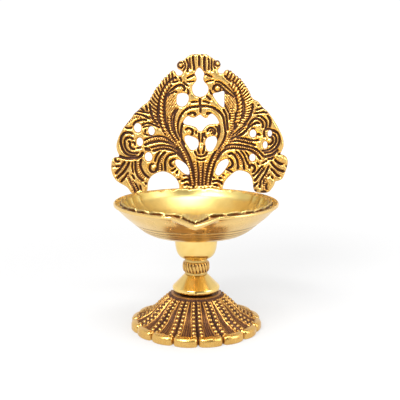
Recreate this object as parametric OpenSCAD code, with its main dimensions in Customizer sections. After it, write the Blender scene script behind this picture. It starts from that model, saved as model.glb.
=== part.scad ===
// Brass standing oil lamp: a petalled foot, a turned stem strung on one
// threaded rod, a shallow dish with a leaf spout, and a pierced back panel
// screwed to the back of the dish.
// Millimetres, +Z up, spout toward -Y, panel at +Y. The origin is on the
// rest plane, on the stem's axis.

/* [Foot] */
// Radius over the petal tips
foot_r = 34; // [32:0.5:36]
// Number of petals
petals = 16; // [12:1:20]
// Turn of the petals about the stem, in degrees
petal_turn = 15; // [0:0.5:22.5]
// Height of the foot's raised top rim
foot_h = 18.4; // [17.5:0.1:19.5]
// Width of the flat ring that stands on the table
foot_rim_w = 4.5; // [3.5:0.5:6]

/* [Stem] */
// Thickness of the seat washer under the cone
seat_t = 1.8; // [1.4:0.1:2.4]
// Radius of the cone's lip
cone_r = 12.2; // [11:0.1:13]
// Height of the cone
cone_h = 8.7; // [7:0.1:10]
// Radius of the plain rings above and below the collar
ring_r = 5.9; // [5.5:0.1:6.3]
// Radius over the collar's ribs
collar_r = 7; // [6.6:0.1:8]
// Height of the collar
collar_h = 5.2; // [4:0.1:7]
// Number of ribs round the collar
collar_ribs = 24; // [16:1:32]
// Radius of the cup at its mouth
cup_r = 11; // [10:0.5:13]
// Height of the cup
cup_h = 13.8; // [13:0.1:15]

/* [Rod] */
// Radius of the threaded rod
rod_r = 3; // [2.5:0.5:3]
// Radial running clearance round the rod and round the dish's boss
run_gap = 0.05; // [0.03:0.01:0.08]
// Radius of the threaded boss under the dish
boss_r = 5.5; // [5:0.1:6]

/* [Dish] */
// Radius of the round rim
dish_r = 42.1; // [41:0.1:42.2]
// Distance from the axis to the tip of the spout
spout_r = 51; // [49:0.5:54]
// Radius of the flat under the dish
dish_flat_r = 24; // [22:0.5:26]

/* [Panel] */
// Thickness of the back panel
panel_t = 4; // [3:0.5:5]
// Distance from the axis to the panel's front face
panel_y = 42.5; // [42.5:0.1:44]
// Straight pieces along each span of the panel's curves
curve_steps = 3; // [2:1:5]

/* [Screws] */
// Radius of the two panel screws
screw_r = 1.5; // [1.25:0.25:1.5]
// Distance of each panel screw from the middle plane
screw_x = 6; // [5:0.5:7]
// Height of the panel screws
screw_z = 61; // [60.5:0.5:61.5]
// Radius of the screw heads
head_r = 2.8; // [2.5:0.1:3]

/* [Hidden] */
$fn = 96;

// Bores that the rod and the boss run in
bore_r = rod_r + run_gap;
cup_bore_r = boss_r + run_gap;

// The stem's pieces, stacked upward from the foot
seat_recess = 0.7;
z_seat = foot_h - seat_recess;
z_cone = z_seat + seat_t;
z_lower_ring = z_cone + cone_h;
lower_ring_h = 1.4;
z_collar = z_lower_ring + lower_ring_h;
z_neck = z_collar + collar_h;
neck_h = 1.6;
z_cup = z_neck + neck_h;
z_dish = z_cup + cup_h;

// The foot's hollow, and the washer, nut and rod end inside it
foot_ceiling = foot_h - 3.9;
washer_t = 1.2;
washer_r = 7;
nut_h = 5;
nut_corner_r = 5.77;
rod_tail = 2.8;
z_washer = foot_ceiling - washer_t;
z_nut = z_washer - nut_h;
z_rod = z_nut - rod_tail;

// The boss under the dish: a blind thread with the rod's end in it
boss_h = 9.2;
boss_room = 0.6;
rod_top_gap = 0.7;

// The screw fixing behind the dish
washer_gap = 0.1;
panel_washer_t = 0.6;
head_h = 1.9;
screw_len = 8.6;
slot_w = 0.8;
slot_depth = 0.9;
pad_half_w = 10;
tap_depth = 4.3;
y_back = panel_y + panel_t;
y_head = y_back + panel_washer_t;

// One outline of the panel, clockwise from the top, as [x, z]. The two
// sides are alike but not mirror images, as on a hand-carved pattern.
crest_right = [
    [0, 140], [3.8, 140], [5.8, 139], [8, 137.6], [9.3, 136.7], [10.8, 136.7], [12, 135], [11.8, 133],
    [10.6, 131.4], [11, 130], [13.2, 129.5]
];
feather_right = [
    [14.5, 131], [16.3, 131.6], [18.3, 130.8], [20, 129.2], [22, 127.8], [24, 126], [25.5, 123.8],
    [27, 121.8], [28.3, 119.5], [29.3, 117], [30.7, 115.3]
];
fan_right = [
    [33, 114.2], [34.5, 112.3], [36, 110.6], [38, 109], [40, 106.5], [42, 103.6], [44, 100.3], [46, 96.5],
    [47.3, 93], [47.5, 89.5], [46.4, 86.4], [45.9, 85]
];
lobe_right = [
    [48, 84.2], [49.5, 82.7], [50, 80], [49.4, 77], [48.4, 74], [47, 71], [44.8, 69.8], [43.2, 69.4],
    [42.6, 67.5], [41, 65], [39.3, 63.3], [36, 62.8], [32.5, 63.3], [31, 65]
];
arch_right = [
    [30.6, 68], [30, 71], [28.5, 73.6], [26, 75], [23, 75.6], [20.5, 74.8], [18, 72.8], [15.8, 70.5],
    [14.3, 68], [13.7, 65.5]
];
tang = [[12.8, 60.5], [10.5, 57.6], [6, 56.8], [-4, 56.8], [-8.5, 57.6], [-10.6, 60.5]];
arch_left = [
    [-11, 65], [-11.3, 68], [-12.6, 70.6], [-15, 72.8], [-17.5, 74.2], [-20, 74.8], [-23, 74.2],
    [-26, 72.5], [-28, 70], [-28.8, 67]
];
lobe_left = [
    [-29, 64], [-31, 62.4], [-35, 61.8], [-38, 62.3], [-39.5, 64.5], [-41.5, 66.4], [-44.5, 68],
    [-47, 70], [-48.7, 73], [-49.4, 76.5], [-49, 80.5], [-47.6, 82.6], [-45.2, 83]
];
fan_left = [
    [-44.9, 84.2], [-46, 87], [-46.1, 90.5], [-45, 94], [-43.5, 97], [-42, 99.5], [-40, 102],
    [-37.6, 104.8], [-36, 107.3], [-34, 109], [-31, 112]
];
feather_left = [
    [-28.5, 113.6], [-27, 116], [-25.5, 118.6], [-24, 121.3], [-22, 123.6], [-20, 126.4], [-18, 128.2],
    [-16, 130.2], [-14.4, 131.2], [-12.9, 130.4]
];
crest_left = [
    [-12, 128.6], [-10, 128.5], [-8.8, 130], [-9.8, 131.2], [-11.5, 132.2], [-12, 134.4], [-10.6, 136.2],
    [-8.5, 136.6], [-7.4, 137.6], [-5.5, 139], [-3.5, 139.9]
];
panel_outline = concat(
    crest_right, feather_right, fan_right, lobe_right, arch_right, tang,
    arch_left, lobe_left, fan_left, feather_left, crest_left
);

// The pierced holes that aren't ovals, as [x, z]
keyhole = [
    [0.4, 132.7], [2, 131.3], [3, 129.4], [2.5, 126.8], [3, 125], [4.7, 123.2], [5.4, 121], [4.9, 119],
    [3.3, 117.4], [0.9, 116.7], [-1.6, 117.3], [-3, 118.8], [-3.5, 120.8], [-3.2, 123], [-1.3, 125.4],
    [-1.2, 127.4], [-2, 129.4], [-1.2, 131.4]
];
heart_hole = [
    [0.8, 106.9], [2, 106], [3.4, 105], [5, 105.2], [5.8, 106.6], [7.6, 107.3], [9.6, 105.6],
    [11, 103.4], [11, 101.8], [8, 101.7], [5, 101], [3, 99.2], [1.8, 97.7], [0, 97.8], [-1.3, 99.6],
    [-4, 100.6], [-7, 101.3], [-8.6, 102.4], [-7.5, 104.6], [-5.8, 106], [-4.2, 105.3], [-2.5, 105.1],
    [-0.8, 105.9]
];
bud_hole_left = [
    [-6, 95.2], [-2.6, 94.2], [-0.3, 92.6], [-0.2, 89.6], [-1.4, 87.5], [-4.2, 87], [-5.8, 89],
    [-7.4, 91.6], [-7.8, 94.2]
];
bud_hole_right = [
    [4.6, 93.4], [6.2, 94.5], [9, 94.8], [10.2, 93], [10, 90.8], [8.8, 88.2], [7.2, 86.3], [5.2, 86.5],
    [4.1, 88.6], [3.8, 91.4]
];
eye_hole_left = [
    [-11.8, 117.6], [-9.6, 118.7], [-6.6, 118.3], [-5.5, 116.2], [-6.2, 113.4], [-8.4, 111.4],
    [-10.6, 111.6], [-12.2, 113.2]
];
eye_hole_right = [[8, 118.3], [11, 119.2], [14, 119.8], [14.2, 116], [14, 111], [11.6, 112.4], [9.2, 115.4]];
wing_hole_left = [
    [-12.8, 81.4], [-10.6, 81.3], [-7.6, 79.3], [-5.6, 76.5], [-5.3, 73.2], [-8, 73.6], [-11.2, 76.4],
    [-12.9, 79]
];
wing_hole_right = [
    [13.6, 81.3], [15.8, 82], [16.9, 80.6], [15.8, 77.6], [13.6, 74.5], [11.4, 72.6], [9.4, 74], [10.3, 77.4],
    [11.6, 79.8]
];

// The oval holes, as [x, z, half width, half height]
oval_holes = [
    [-34.1, 99.4, 2.1, 2.6], [-26.4, 97.8, 1.8, 2.5], [-33, 91.5, 1.8, 2.4], [-28.2, 83.1, 2.1, 2.6],
    [30.3, 96.4, 1.8, 2.2], [39.7, 96.5, 1.2, 1.8], [37.2, 90, 1.3, 2.1], [30.2, 82.9, 1.7, 2.1]
];

// A point on the Catmull-Rom curve from b to c, with a before and d after
function curve_point(a, b, c, d, t) =
    0.5 * (2 * b + (c - a) * t + (2 * a - 5 * b + 4 * c - d) * t * t + (3 * b - a - 3 * c + d) * t * t * t);

// A closed smooth curve through the points p
function closed_curve(p, steps) =
    let (n = len(p))
    [for (i = [0:n - 1], k = [0:steps - 1])
        curve_point(p[(i + n - 1) % n], p[i], p[(i + 1) % n], p[(i + 2) % n], k / steps)];

// An open smooth curve through the points p, ends included
function open_curve(p, steps) =
    let (n = len(p))
    concat(
        [for (i = [0:n - 2], k = [0:steps - 1])
            curve_point(p[max(i - 1, 0)], p[i], p[i + 1], p[min(i + 2, n - 1)], k / steps)],
        [p[n - 1]]
    );

function oval(x, z, rx, rz) = [for (a = [0:20:340]) [x + rx * cos(a), z + rz * sin(a)]];

// A plain ring round the stem's axis
module ring(outer_r, inner_r, z, h) {
    rotate_extrude()
        translate([inner_r, z])
            square([outer_r - inner_r, h]);
}

// Places a shape drawn in [x, z] upright, from y outward by depth
module upright(y, depth) {
    translate([0, y + depth, 0])
        rotate([90, 0, 0])
            linear_extrude(depth)
                children();
}

// Both panel screw positions, with +Z of the child pointing backward
module at_screws(y) {
    for (side = [-1, 1])
        translate([side * screw_x, y, screw_z])
            rotate([-90, 0, 0])
                children();
}

// Petal tips: circles whose overlaps leave the grooves between petals
module petal_plan() {
    tip_r = foot_r * 0.36;
    circle(r = foot_r * 0.7);
    for (i = [0:petals - 1])
        rotate(petal_turn + i * 360 / petals)
            translate([foot_r - tip_r, 0])
                circle(r = tip_r);
}

module foot() {
    side_h = 3.2;
    top_r = 12.3;
    rim_w = 1.1;
    inner_r = foot_r - foot_rim_w;
    slope = open_curve([
        [top_r, foot_h], [16.6, foot_h - 3.5], [20, foot_h - 6.5], [23.7, foot_h - 10.4],
        [28.4, side_h + 2], [foot_r - 1, side_h + 0.3]
    ], 3);
    underside = open_curve([
        [inner_r, -1], [inner_r - 2, 2.4], [22, 5.8], [18, foot_ceiling - 5], [14.4, foot_ceiling - 2],
        [11, foot_ceiling]
    ], 3);
    color("darkgoldenrod")
    difference() {
        intersection() {
            rotate_extrude()
                polygon(concat(
                    [[bore_r, 0], [bore_r, z_seat], [top_r - rim_w, z_seat], [top_r - rim_w, foot_h]],
                    slope,
                    [[foot_r + 1, side_h], [foot_r + 1, 0]]
                ));
            linear_extrude(foot_h + 1)
                petal_plan();
        }
        rotate_extrude()
            polygon(concat([[0, -1]], underside, [[0, foot_ceiling]]));
    }
}

module foot_washer() {
    color("silver")
        ring(washer_r, bore_r, z_washer, washer_t);
}

module foot_nut() {
    color("silver")
    difference() {
        translate([0, 0, z_nut])
            cylinder(r = nut_corner_r, h = nut_h, $fn = 6);
        translate([0, 0, z_nut - 1])
            cylinder(r = bore_r, h = nut_h + 2);
    }
}

module tie_rod() {
    bevel = 0.6;
    top = z_dish - rod_top_gap;
    color("gainsboro")
        rotate_extrude()
            polygon([
                [0, z_rod], [rod_r - bevel, z_rod], [rod_r, z_rod + bevel],
                [rod_r, top - bevel], [rod_r - bevel, top], [0, top]
            ]);
}

module seat_washer() {
    seat_r = 8;
    color("saddlebrown")
        ring(seat_r, bore_r, z_seat, seat_t);
}

module stem_cone() {
    lip_h = 1.7;
    lip_in = 0.9;
    color("gold")
        rotate_extrude()
            polygon([
                [bore_r, z_cone], [cone_r - lip_in, z_cone], [cone_r, z_cone + lip_h],
                [cone_r - 0.5, z_cone + lip_h + 0.7], [(cone_r + ring_r) / 2 + 0.2, z_cone + cone_h * 0.6],
                [ring_r - 0.2, z_lower_ring], [bore_r, z_lower_ring]
            ]);
}

module lower_ring() {
    color("goldenrod")
        ring(ring_r, bore_r, z_lower_ring, lower_ring_h);
}

module collar() {
    rib_r = 0.7;
    root_r = collar_r - rib_r;
    color("peru")
    difference() {
        union() {
            translate([0, 0, z_collar])
                cylinder(r = root_r + 0.1, h = collar_h);
            for (i = [0:collar_ribs - 1])
                rotate(i * 360 / collar_ribs)
                    translate([root_r, 0, z_collar])
                        cylinder(r = rib_r, h = collar_h, $fn = 24);
        }
        translate([0, 0, z_collar - 1])
            cylinder(r = bore_r, h = collar_h + 2);
    }
}

module neck_ring() {
    color("goldenrod")
        ring(ring_r, bore_r, z_neck, neck_h);
}

module cup() {
    boss_floor = z_dish - boss_h - boss_room;
    side = open_curve([
        [ring_r + 0.3, z_cup], [cup_r - 2.6, z_cup + 1.3], [cup_r - 1.25, z_cup + 2.9],
        [cup_r - 0.5, z_cup + 5.1], [cup_r, z_cup + 9.3], [cup_r, z_dish]
    ], 3);
    color("gold")
        rotate_extrude()
            polygon(concat(
                [[bore_r, z_cup]],
                side,
                [[cup_bore_r, z_dish], [cup_bore_r, boss_floor], [bore_r, boss_floor]]
            ));
}

// Half of the dish's round section, from the axis out, round the rim and
// back along the inside
module dish_section() {
    z_rim = z_dish + 15.9;
    outside = open_curve([
        [dish_flat_r, z_dish], [28, z_dish + 2.2], [33.2, z_dish + 6.6], [37, z_dish + 9.9],
        [39.6, z_dish + 12.6], [41.2, z_dish + 14.2]
    ], 3);
    rim = [
        [dish_r - 0.2, z_dish + 14.5], [dish_r, z_dish + 15], [dish_r, z_rim - 0.4], [dish_r - 0.6, z_rim],
        [39, z_rim - 0.6], [38.5, z_rim - 0.6], [38.3, z_rim + 1.2], [37.4, z_rim + 1.2]
    ];
    inside = open_curve([
        [36.9, z_rim - 0.4], [36, z_dish + 12.8], [33, z_dish + 9.8], [29, z_dish + 6.7],
        [24, z_dish + 4.1], [18, z_dish + 2.8], [8, z_dish + 2.4]
    ], 3);
    polygon(concat([[0, z_dish]], outside, rim, inside, [[0, z_dish + 2.4]]));
}

// A solid whose plan is one polygon and whose side view is another
module plan_and_side(plan, side, half_w) {
    intersection() {
        translate([0, 0, z_dish])
            linear_extrude(20)
                polygon(plan);
        translate([-half_w, 0, 0])
            rotate([90, 0, 90])
                linear_extrude(2 * half_w)
                    polygon(side);
    }
}

// The leaf spout: a V in plan, thinner toward its tip
module spout() {
    plan = [[-10, -36], [-7, -41.3], [-2.7, -46.8], [0, -spout_r], [2.7, -46.8], [7, -41.3], [10, -36]];
    side = [
        [-36, z_dish + 9.4], [-39.6, z_dish + 12.2], [-spout_r, z_dish + 12.4], [-spout_r, z_dish + 14.3],
        [-46, z_dish + 14.8], [-38.3, z_dish + 16.4], [-36, z_dish + 17.1]
    ];
    plan_and_side(plan, side, 12);
}

// The shallow channel along the spout, open to the basin
module spout_channel() {
    plan = [[-5, -33], [-4.6, -38], [-3.2, -42.5], [0, 4 - spout_r], [3.2, -42.5], [4.6, -38], [5, -33]];
    side = [
        [4 - spout_r, z_dish + 14.2], [-38.3, z_dish + 15.6], [-33, z_dish + 15.8], [-33, z_dish + 19],
        [-spout_r, z_dish + 19]
    ];
    plan_and_side(plan, side, 12);
}

// The lug that the panel is screwed to, under the rim at the back
module back_pad() {
    translate([-pad_half_w, 0, 0])
        rotate([90, 0, 90])
            linear_extrude(2 * pad_half_w)
                polygon([
                    [37, z_dish + 14.4], [panel_y, z_dish + 14.4], [panel_y, z_dish + 7.2],
                    [38.5, z_dish + 7.2], [34, z_dish + 9.2]
                ]);
}

module dish() {
    color("khaki")
    difference() {
        union() {
            rotate_extrude()
                dish_section();
            spout();
            back_pad();
            translate([0, 0, z_dish - boss_h])
                cylinder(r = boss_r, h = boss_h + 1);
        }
        spout_channel();
        translate([0, 0, z_dish - boss_h - 1])
            cylinder(r = bore_r, h = boss_h + 1);
        at_screws(panel_y - tap_depth)
            cylinder(r = screw_r + run_gap, h = tap_depth + 1);
    }
}

module back_panel() {
    color("goldenrod")
    difference() {
        upright(panel_y, panel_t)
            difference() {
                polygon(closed_curve(panel_outline, curve_steps));
                for (hole = [keyhole, heart_hole, bud_hole_left, bud_hole_right,
                             eye_hole_left, eye_hole_right, wing_hole_left, wing_hole_right])
                    polygon(closed_curve(hole, curve_steps));
                for (o = oval_holes)
                    polygon(oval(o[0], o[1], o[2], o[3]));
            }
        at_screws(panel_y - 1)
            cylinder(r = screw_r + washer_gap, h = panel_t + 2);
    }
}

module panel_washers() {
    color("silver")
        at_screws(y_back)
            difference() {
                cylinder(r = head_r + 0.5, h = panel_washer_t);
                translate([0, 0, -1])
                    cylinder(r = screw_r + washer_gap, h = panel_washer_t + 2);
            }
}

module panel_screws() {
    color("gainsboro")
        at_screws(y_head - screw_len)
            difference() {
                union() {
                    cylinder(r = screw_r, h = screw_len);
                    translate([0, 0, screw_len])
                        cylinder(r = head_r, h = head_h);
                }
                translate([-head_r - 1, -slot_w / 2, screw_len + head_h - slot_depth])
                    cube([2 * head_r + 2, slot_w, slot_depth + 1]);
            }
}

foot();
foot_washer();
foot_nut();
tie_rod();
seat_washer();
stem_cone();
lower_ring();
collar();
neck_ring();
cup();
dish();
back_panel();
panel_washers();
panel_screws();
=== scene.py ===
"""Brass standing oil lamp: the looks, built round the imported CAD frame.

Lengths are in millimetres while a shape is worked out, and become metres when its mesh is made.
"""

import math

import bmesh
import bpy
import numpy as np
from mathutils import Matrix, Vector

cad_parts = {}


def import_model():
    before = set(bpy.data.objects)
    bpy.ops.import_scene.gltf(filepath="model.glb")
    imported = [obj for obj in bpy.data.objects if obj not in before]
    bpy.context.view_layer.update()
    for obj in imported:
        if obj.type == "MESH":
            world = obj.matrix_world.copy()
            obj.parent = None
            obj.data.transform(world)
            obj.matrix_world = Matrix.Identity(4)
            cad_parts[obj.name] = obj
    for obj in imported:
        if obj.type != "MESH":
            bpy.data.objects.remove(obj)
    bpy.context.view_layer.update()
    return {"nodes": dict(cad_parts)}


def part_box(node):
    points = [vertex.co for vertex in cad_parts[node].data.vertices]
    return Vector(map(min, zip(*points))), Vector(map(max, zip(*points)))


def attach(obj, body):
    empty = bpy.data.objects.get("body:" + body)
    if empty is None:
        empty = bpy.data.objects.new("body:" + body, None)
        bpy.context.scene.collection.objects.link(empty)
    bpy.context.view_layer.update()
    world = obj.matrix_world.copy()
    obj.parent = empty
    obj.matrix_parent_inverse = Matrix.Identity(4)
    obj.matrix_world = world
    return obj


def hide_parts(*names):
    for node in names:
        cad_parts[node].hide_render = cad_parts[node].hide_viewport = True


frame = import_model()
MM = 0.001
TAU = 2 * math.pi
rng = np.random.default_rng(11)


# ---------------------------------------------------------------- meshes

def box_mm(node):
    """A node's lowest and highest corners, in mm."""
    return [np.array(corner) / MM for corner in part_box(node)]


def smooth_step(low_edge, high_edge, value):
    """0 below low_edge, 1 above high_edge, and a smooth rise between."""
    t = np.clip((value - low_edge) / (high_edge - low_edge), 0, 1)
    return t * t * (3 - 2 * t)


def make_piece(name, points, faces, body, slot, replaces=None, **attributes):
    """A mesh object from points in mm, riding on a CAD body, with its slot's material."""
    mesh = bpy.data.meshes.new(name)
    mesh.from_pydata((np.asarray(points) * MM).tolist(), [], faces)
    mesh.validate()
    mesh.polygons.foreach_set("use_smooth", [True] * len(mesh.polygons))
    for key, values in attributes.items():
        layer = mesh.attributes.new(key, "FLOAT", "POINT")
        layer.data.foreach_set("value", np.asarray(values, np.float32))
    mesh.materials.append(MATERIALS[slot])
    mesh.update()
    piece = bpy.data.objects.new(name, mesh)
    bpy.context.scene.collection.objects.link(piece)
    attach(piece, body)
    if replaces:
        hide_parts(replaces)


def spline(points, step):
    """Points about step apart on the Catmull-Rom curve through the given ones, as an array."""
    p = np.array(points, float)
    if len(p) == 2:
        count = max(2, int(np.linalg.norm(p[1] - p[0]) / step) + 1)
        return p[0] + np.linspace(0, 1, count)[:, None] * (p[1] - p[0])
    out = []
    for i in range(len(p) - 1):
        a, b, c, d = p[max(i - 1, 0)], p[i], p[i + 1], p[min(i + 2, len(p) - 1)]
        count = max(2, int(np.linalg.norm(c - b) / step))
        t = (np.arange(count) / count)[:, None]
        out.append(0.5 * (2 * b + (c - a) * t + (2 * a - 5 * b + 4 * c - d) * t**2
                          + (3 * b - a - 3 * c + d) * t**3))
    out.append(p[-1:])
    return np.concatenate(out)


# ---------------------------------------------------------------- node materials

def new_material(name):
    material = bpy.data.materials.new(name)
    material.use_nodes = True
    return material, material.node_tree, material.node_tree.nodes["Principled BSDF"]


def link(tree, out_socket, in_socket):
    tree.links.new(out_socket, in_socket)


def add(tree, kind, **values):
    """A shader node with its properties and inputs set."""
    node = tree.nodes.new(kind)
    for key, value in values.items():
        if key in node.inputs:
            node.inputs[key].default_value = value
        else:
            setattr(node, key, value)
    return node


def attribute(tree, name):
    """The values that a mesh holds under a name, such as "patina"."""
    return add(tree, "ShaderNodeAttribute", attribute_name=name).outputs["Fac"]


def ramp(tree, source, positions, colours):
    """A colour ramp over the source, with one colour at each position."""
    node = tree.nodes.new("ShaderNodeValToRGB")
    elements = node.color_ramp.elements
    while len(elements) < len(colours):
        elements.new(0.5)
    for element, position, colour in zip(elements, positions, colours):
        element.position = position
        element.color = (*colour, 1)
    link(tree, source, node.inputs["Fac"])
    return node.outputs["Color"]


def math_node(tree, operation, a, b):
    """A Math node over two sockets or numbers."""
    node = add(tree, "ShaderNodeMath", operation=operation)
    for socket, value in zip(node.inputs, (a, b)):
        if isinstance(value, (int, float)):
            socket.default_value = value
        else:
            link(tree, value, socket)
    return node.outputs[0]


def sway(tree, source, amount):
    """The source's distance from one half, times the amount."""
    return math_node(tree, "MULTIPLY", math_node(tree, "SUBTRACT", source, 0.5), amount)


def map_range(tree, source, from_low, from_high, to_low, to_high):
    node = add(tree, "ShaderNodeMapRange", interpolation_type="SMOOTHSTEP")
    ends = {"From Min": from_low, "From Max": from_high, "To Min": to_low, "To Max": to_high}
    for key, value in ends.items():
        node.inputs[key].default_value = value
    link(tree, source, node.inputs["Value"])
    return node.outputs["Result"]


def mix_colour(tree, factor, a, b):
    """Mixes two colours, each a socket or a colour."""
    node = add(tree, "ShaderNodeMix", data_type="RGBA")
    link(tree, factor, node.inputs["Factor"])
    for key, value in (("A", a), ("B", b)):
        socket = [s for s in node.inputs if s.name == key and s.type == "RGBA"][0]
        if isinstance(value, tuple):
            socket.default_value = (*value, 1)
        else:
            link(tree, value, socket)
    return [s for s in node.outputs if s.type == "RGBA"][0]


def noise(tree, scale, detail, roughness=0.5, stretch=(1, 1, 1)):
    """Noise over the object's own coordinates, in metres, so scale 1000 has features of about 1 mm."""
    coordinates = tree.nodes.new("ShaderNodeTexCoord").outputs["Object"]
    if stretch != (1, 1, 1):
        mapping = add(tree, "ShaderNodeMapping", Scale=stretch)
        link(tree, coordinates, mapping.inputs["Vector"])
        coordinates = mapping.outputs["Vector"]
    node = add(tree, "ShaderNodeTexNoise", Scale=scale, Detail=detail, Roughness=roughness)
    link(tree, coordinates, node.inputs["Vector"])
    return node.outputs["Fac"]


def turning_marks(tree, scale, detail):
    """Noise that depends only on the distance from the stem's axis and on height."""
    split = add(tree, "ShaderNodeSeparateXYZ")
    link(tree, tree.nodes.new("ShaderNodeTexCoord").outputs["Object"], split.inputs[0])
    flat = add(tree, "ShaderNodeCombineXYZ")
    link(tree, split.outputs["X"], flat.inputs["X"])
    link(tree, split.outputs["Y"], flat.inputs["Y"])
    length = add(tree, "ShaderNodeVectorMath", operation="LENGTH")
    link(tree, flat.outputs[0], length.inputs[0])
    turned = add(tree, "ShaderNodeCombineXYZ")
    link(tree, length.outputs["Value"], turned.inputs["X"])
    link(tree, split.outputs["Z"], turned.inputs["Z"])
    node = add(tree, "ShaderNodeTexNoise", Scale=scale, Detail=detail)
    link(tree, turned.outputs[0], node.inputs["Vector"])
    return node.outputs["Fac"]


def finish_metal(tree, shader, colour, roughness, marks, strength, distance):
    """Joins a metal's colour, roughness and bump to its shader."""
    bump = add(tree, "ShaderNodeBump", Strength=strength, Distance=distance)
    link(tree, marks, bump.inputs["Height"])
    link(tree, bump.outputs["Normal"], shader.inputs["Normal"])
    link(tree, colour, shader.inputs["Base Color"])
    link(tree, roughness, shader.inputs["Roughness"])
    shader.inputs["Metallic"].default_value = 1


BRASS_STOPS = (0.3, 0.55, 0.8)    # positions of the three colours of clean brass


def antique_brass():
    """Cast brass: buffed gold high points, brown patina where the "patina" attribute is high. On the seat
    ring that attribute is painted shade.
    """
    material, tree, shader = new_material("antique_brass")
    fine = noise(tree, 900, 4, 0.6)
    tarnish = math_node(tree, "ADD", attribute(tree, "patina"), sway(tree, fine, 0.35))
    tarnish = math_node(tree, "ADD", tarnish, sway(tree, noise(tree, 90, 2), 0.35))
    colour = ramp(tree, tarnish, (0.0, 0.25, 0.5, 0.75, 1.0),
                  ((0.86, 0.57, 0.19), (0.66, 0.38, 0.10), (0.40, 0.19, 0.048), (0.15, 0.056, 0.018),
                   (0.045, 0.015, 0.007)))
    grain = map_range(tree, fine, 0.3, 0.7, 0.22, 0.36)
    dull = map_range(tree, tarnish, 0.2, 0.9, 0.0, 0.3)
    rough = math_node(tree, "ADD", grain, dull)
    finish_metal(tree, shader, colour, rough, noise(tree, 1600, 4, 0.65), 0.35, 0.00012)
    link(tree, map_range(tree, tarnish, 0.3, 0.9, 1.0, 0.55), shader.inputs["Metallic"])
    return material


def polished_brass():
    """Lathe-turned and polished brass with fine turning marks, darker where "patina" is high."""
    material, tree, shader = new_material("polished_brass")
    patches = noise(tree, 120, 3)
    clean = ramp(tree, patches, BRASS_STOPS, ((0.86, 0.59, 0.18), (0.92, 0.66, 0.23), (0.84, 0.55, 0.16)))
    colour = mix_colour(tree, attribute(tree, "patina"), clean, (0.2, 0.085, 0.02))
    rough = map_range(tree, patches, 0.3, 0.7, 0.12, 0.24)
    finish_metal(tree, shader, colour, rough, turning_marks(tree, 2600, 2), 0.25, 0.00004)
    return material


def dish_brass():
    """Satin polished brass of the dish with concentric turning marks. Where "bowl" is high it is rougher
    and painted darker and greener, as painted shade and painted reflection of brass in brass inside the
    bowl. Where "patina" is high it is dark brown: patina in the grooves, and painted shade with patina
    under the ridge's step.
    """
    material, tree, shader = new_material("dish_brass")
    patches = noise(tree, 70, 4, 0.6)
    outside = ramp(tree, patches, BRASS_STOPS, ((0.83, 0.56, 0.19), (0.88, 0.61, 0.23), (0.79, 0.51, 0.16)))
    # The bowl's inside: the same brass painted darker and greener, as painted shade and painted reflection
    # of brass in brass
    inside = ramp(tree, patches, BRASS_STOPS, ((0.58, 0.45, 0.15), (0.63, 0.5, 0.18), (0.54, 0.41, 0.13)))
    bowl = attribute(tree, "bowl")
    clean = mix_colour(tree, bowl, outside, inside)
    # Dark brown where "patina" is high: patina in the turned grooves, and painted shade with patina under
    # the ridge's step
    colour = mix_colour(tree, attribute(tree, "patina"), clean, (0.13, 0.045, 0.014))
    grain = map_range(tree, patches, 0.3, 0.7, 0.2, 0.3)
    rough = math_node(tree, "ADD", grain, math_node(tree, "MULTIPLY", bowl, 0.14))
    finish_metal(tree, shader, colour, rough, turning_marks(tree, 1900, 3), 0.3, 0.00005)
    return material


def zinc_steel():
    """Zinc-plated steel with faint yellow passivation and fine scratches."""
    material, tree, shader = new_material("zinc_steel")
    colour = ramp(tree, noise(tree, 300, 3), (0.35, 0.6, 0.8),
                  ((0.52, 0.52, 0.50), (0.66, 0.63, 0.55), (0.48, 0.49, 0.50)))
    scratches = noise(tree, 2000, 2, 0.5, (1, 1, 0.15))
    rough = map_range(tree, scratches, 0.3, 0.7, 0.22, 0.42)
    finish_metal(tree, shader, colour, rough, scratches, 0.2, 0.00003)
    return material


# The material of each slot
MATERIALS = {
    "antique_brass": antique_brass(),
    "polished_brass": polished_brass(),
    "dish_brass": dish_brass(),
    "zinc_steel": zinc_steel(),
}


# ---------------------------------------------------------------- carving of the back panel

# Carved grooves of the panel as (width, points), each point (x, z) in mm. The two sides are alike
# but not mirror images, as on a hand-carved pattern.
CREST = [
    (0.9, [(0.3, 139.4), (0.3, 133.4)]),
    (1.0, [(-3.2, 139), (-3, 136), (-2.5, 133), (-2.4, 131.2)]),
    (0.6, [(-4.9, 138), (-4.8, 135), (-4.6, 132)]),
    (1.0, [(-6.8, 137.4), (-5.8, 135), (-5.6, 133), (-6.4, 130.4)]),
    (0.7, [(-8.4, 136.4), (-7.5, 134.8), (-7.5, 132.8), (-8.3, 131)]),
    (1.1, [(3.3, 138.8), (3.1, 136), (3.2, 133), (3.4, 130.8)]),
    (0.7, [(5.3, 138), (5.7, 135), (5.5, 131.3)]),
    (0.8, [(7.4, 137.6), (7.1, 134.5), (7.1, 131)]),
    (0.7, [(8.7, 136.4), (8.5, 133.6), (9.3, 132)]),
    (0.8, [(1.4, 139.6), (2.2, 139.6)]),
]
NECK = [
    (0.9, [(-2.2, 128.7), (-4, 128.2), (-6.4, 126.9)]),
    (0.7, [(-2.4, 125.3), (-4.4, 125), (-6.4, 125)]),
    (0.9, [(-8.5, 124.7), (-7.3, 123.7), (-5.8, 122.6)]),
    (0.7, [(-10.6, 127.6), (-9.7, 126.2), (-9.8, 124.9)]),
    (0.9, [(-6.2, 120.8), (-5.6, 119.2), (-6, 118)]),
    (0.7, [(3.2, 129.3), (5.1, 128.7), (7.6, 127.5)]),
    (0.6, [(3.9, 124.9), (6, 125.5), (8.4, 125.8)]),
    (0.9, [(4.3, 117.3), (5.6, 116.2), (6.8, 115)]),
    (0.9, [(6.2, 120.4), (6.7, 119), (7.4, 118)]),
    (1.1, [(0.8, 116), (0.7, 114), (0.9, 112)]),
    (0.9, [(2.3, 114.2), (4.1, 114), (6.2, 113.2)]),
    (0.9, [(-4.2, 113.7), (-2.4, 114), (-0.3, 114.1)]),
]
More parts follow.
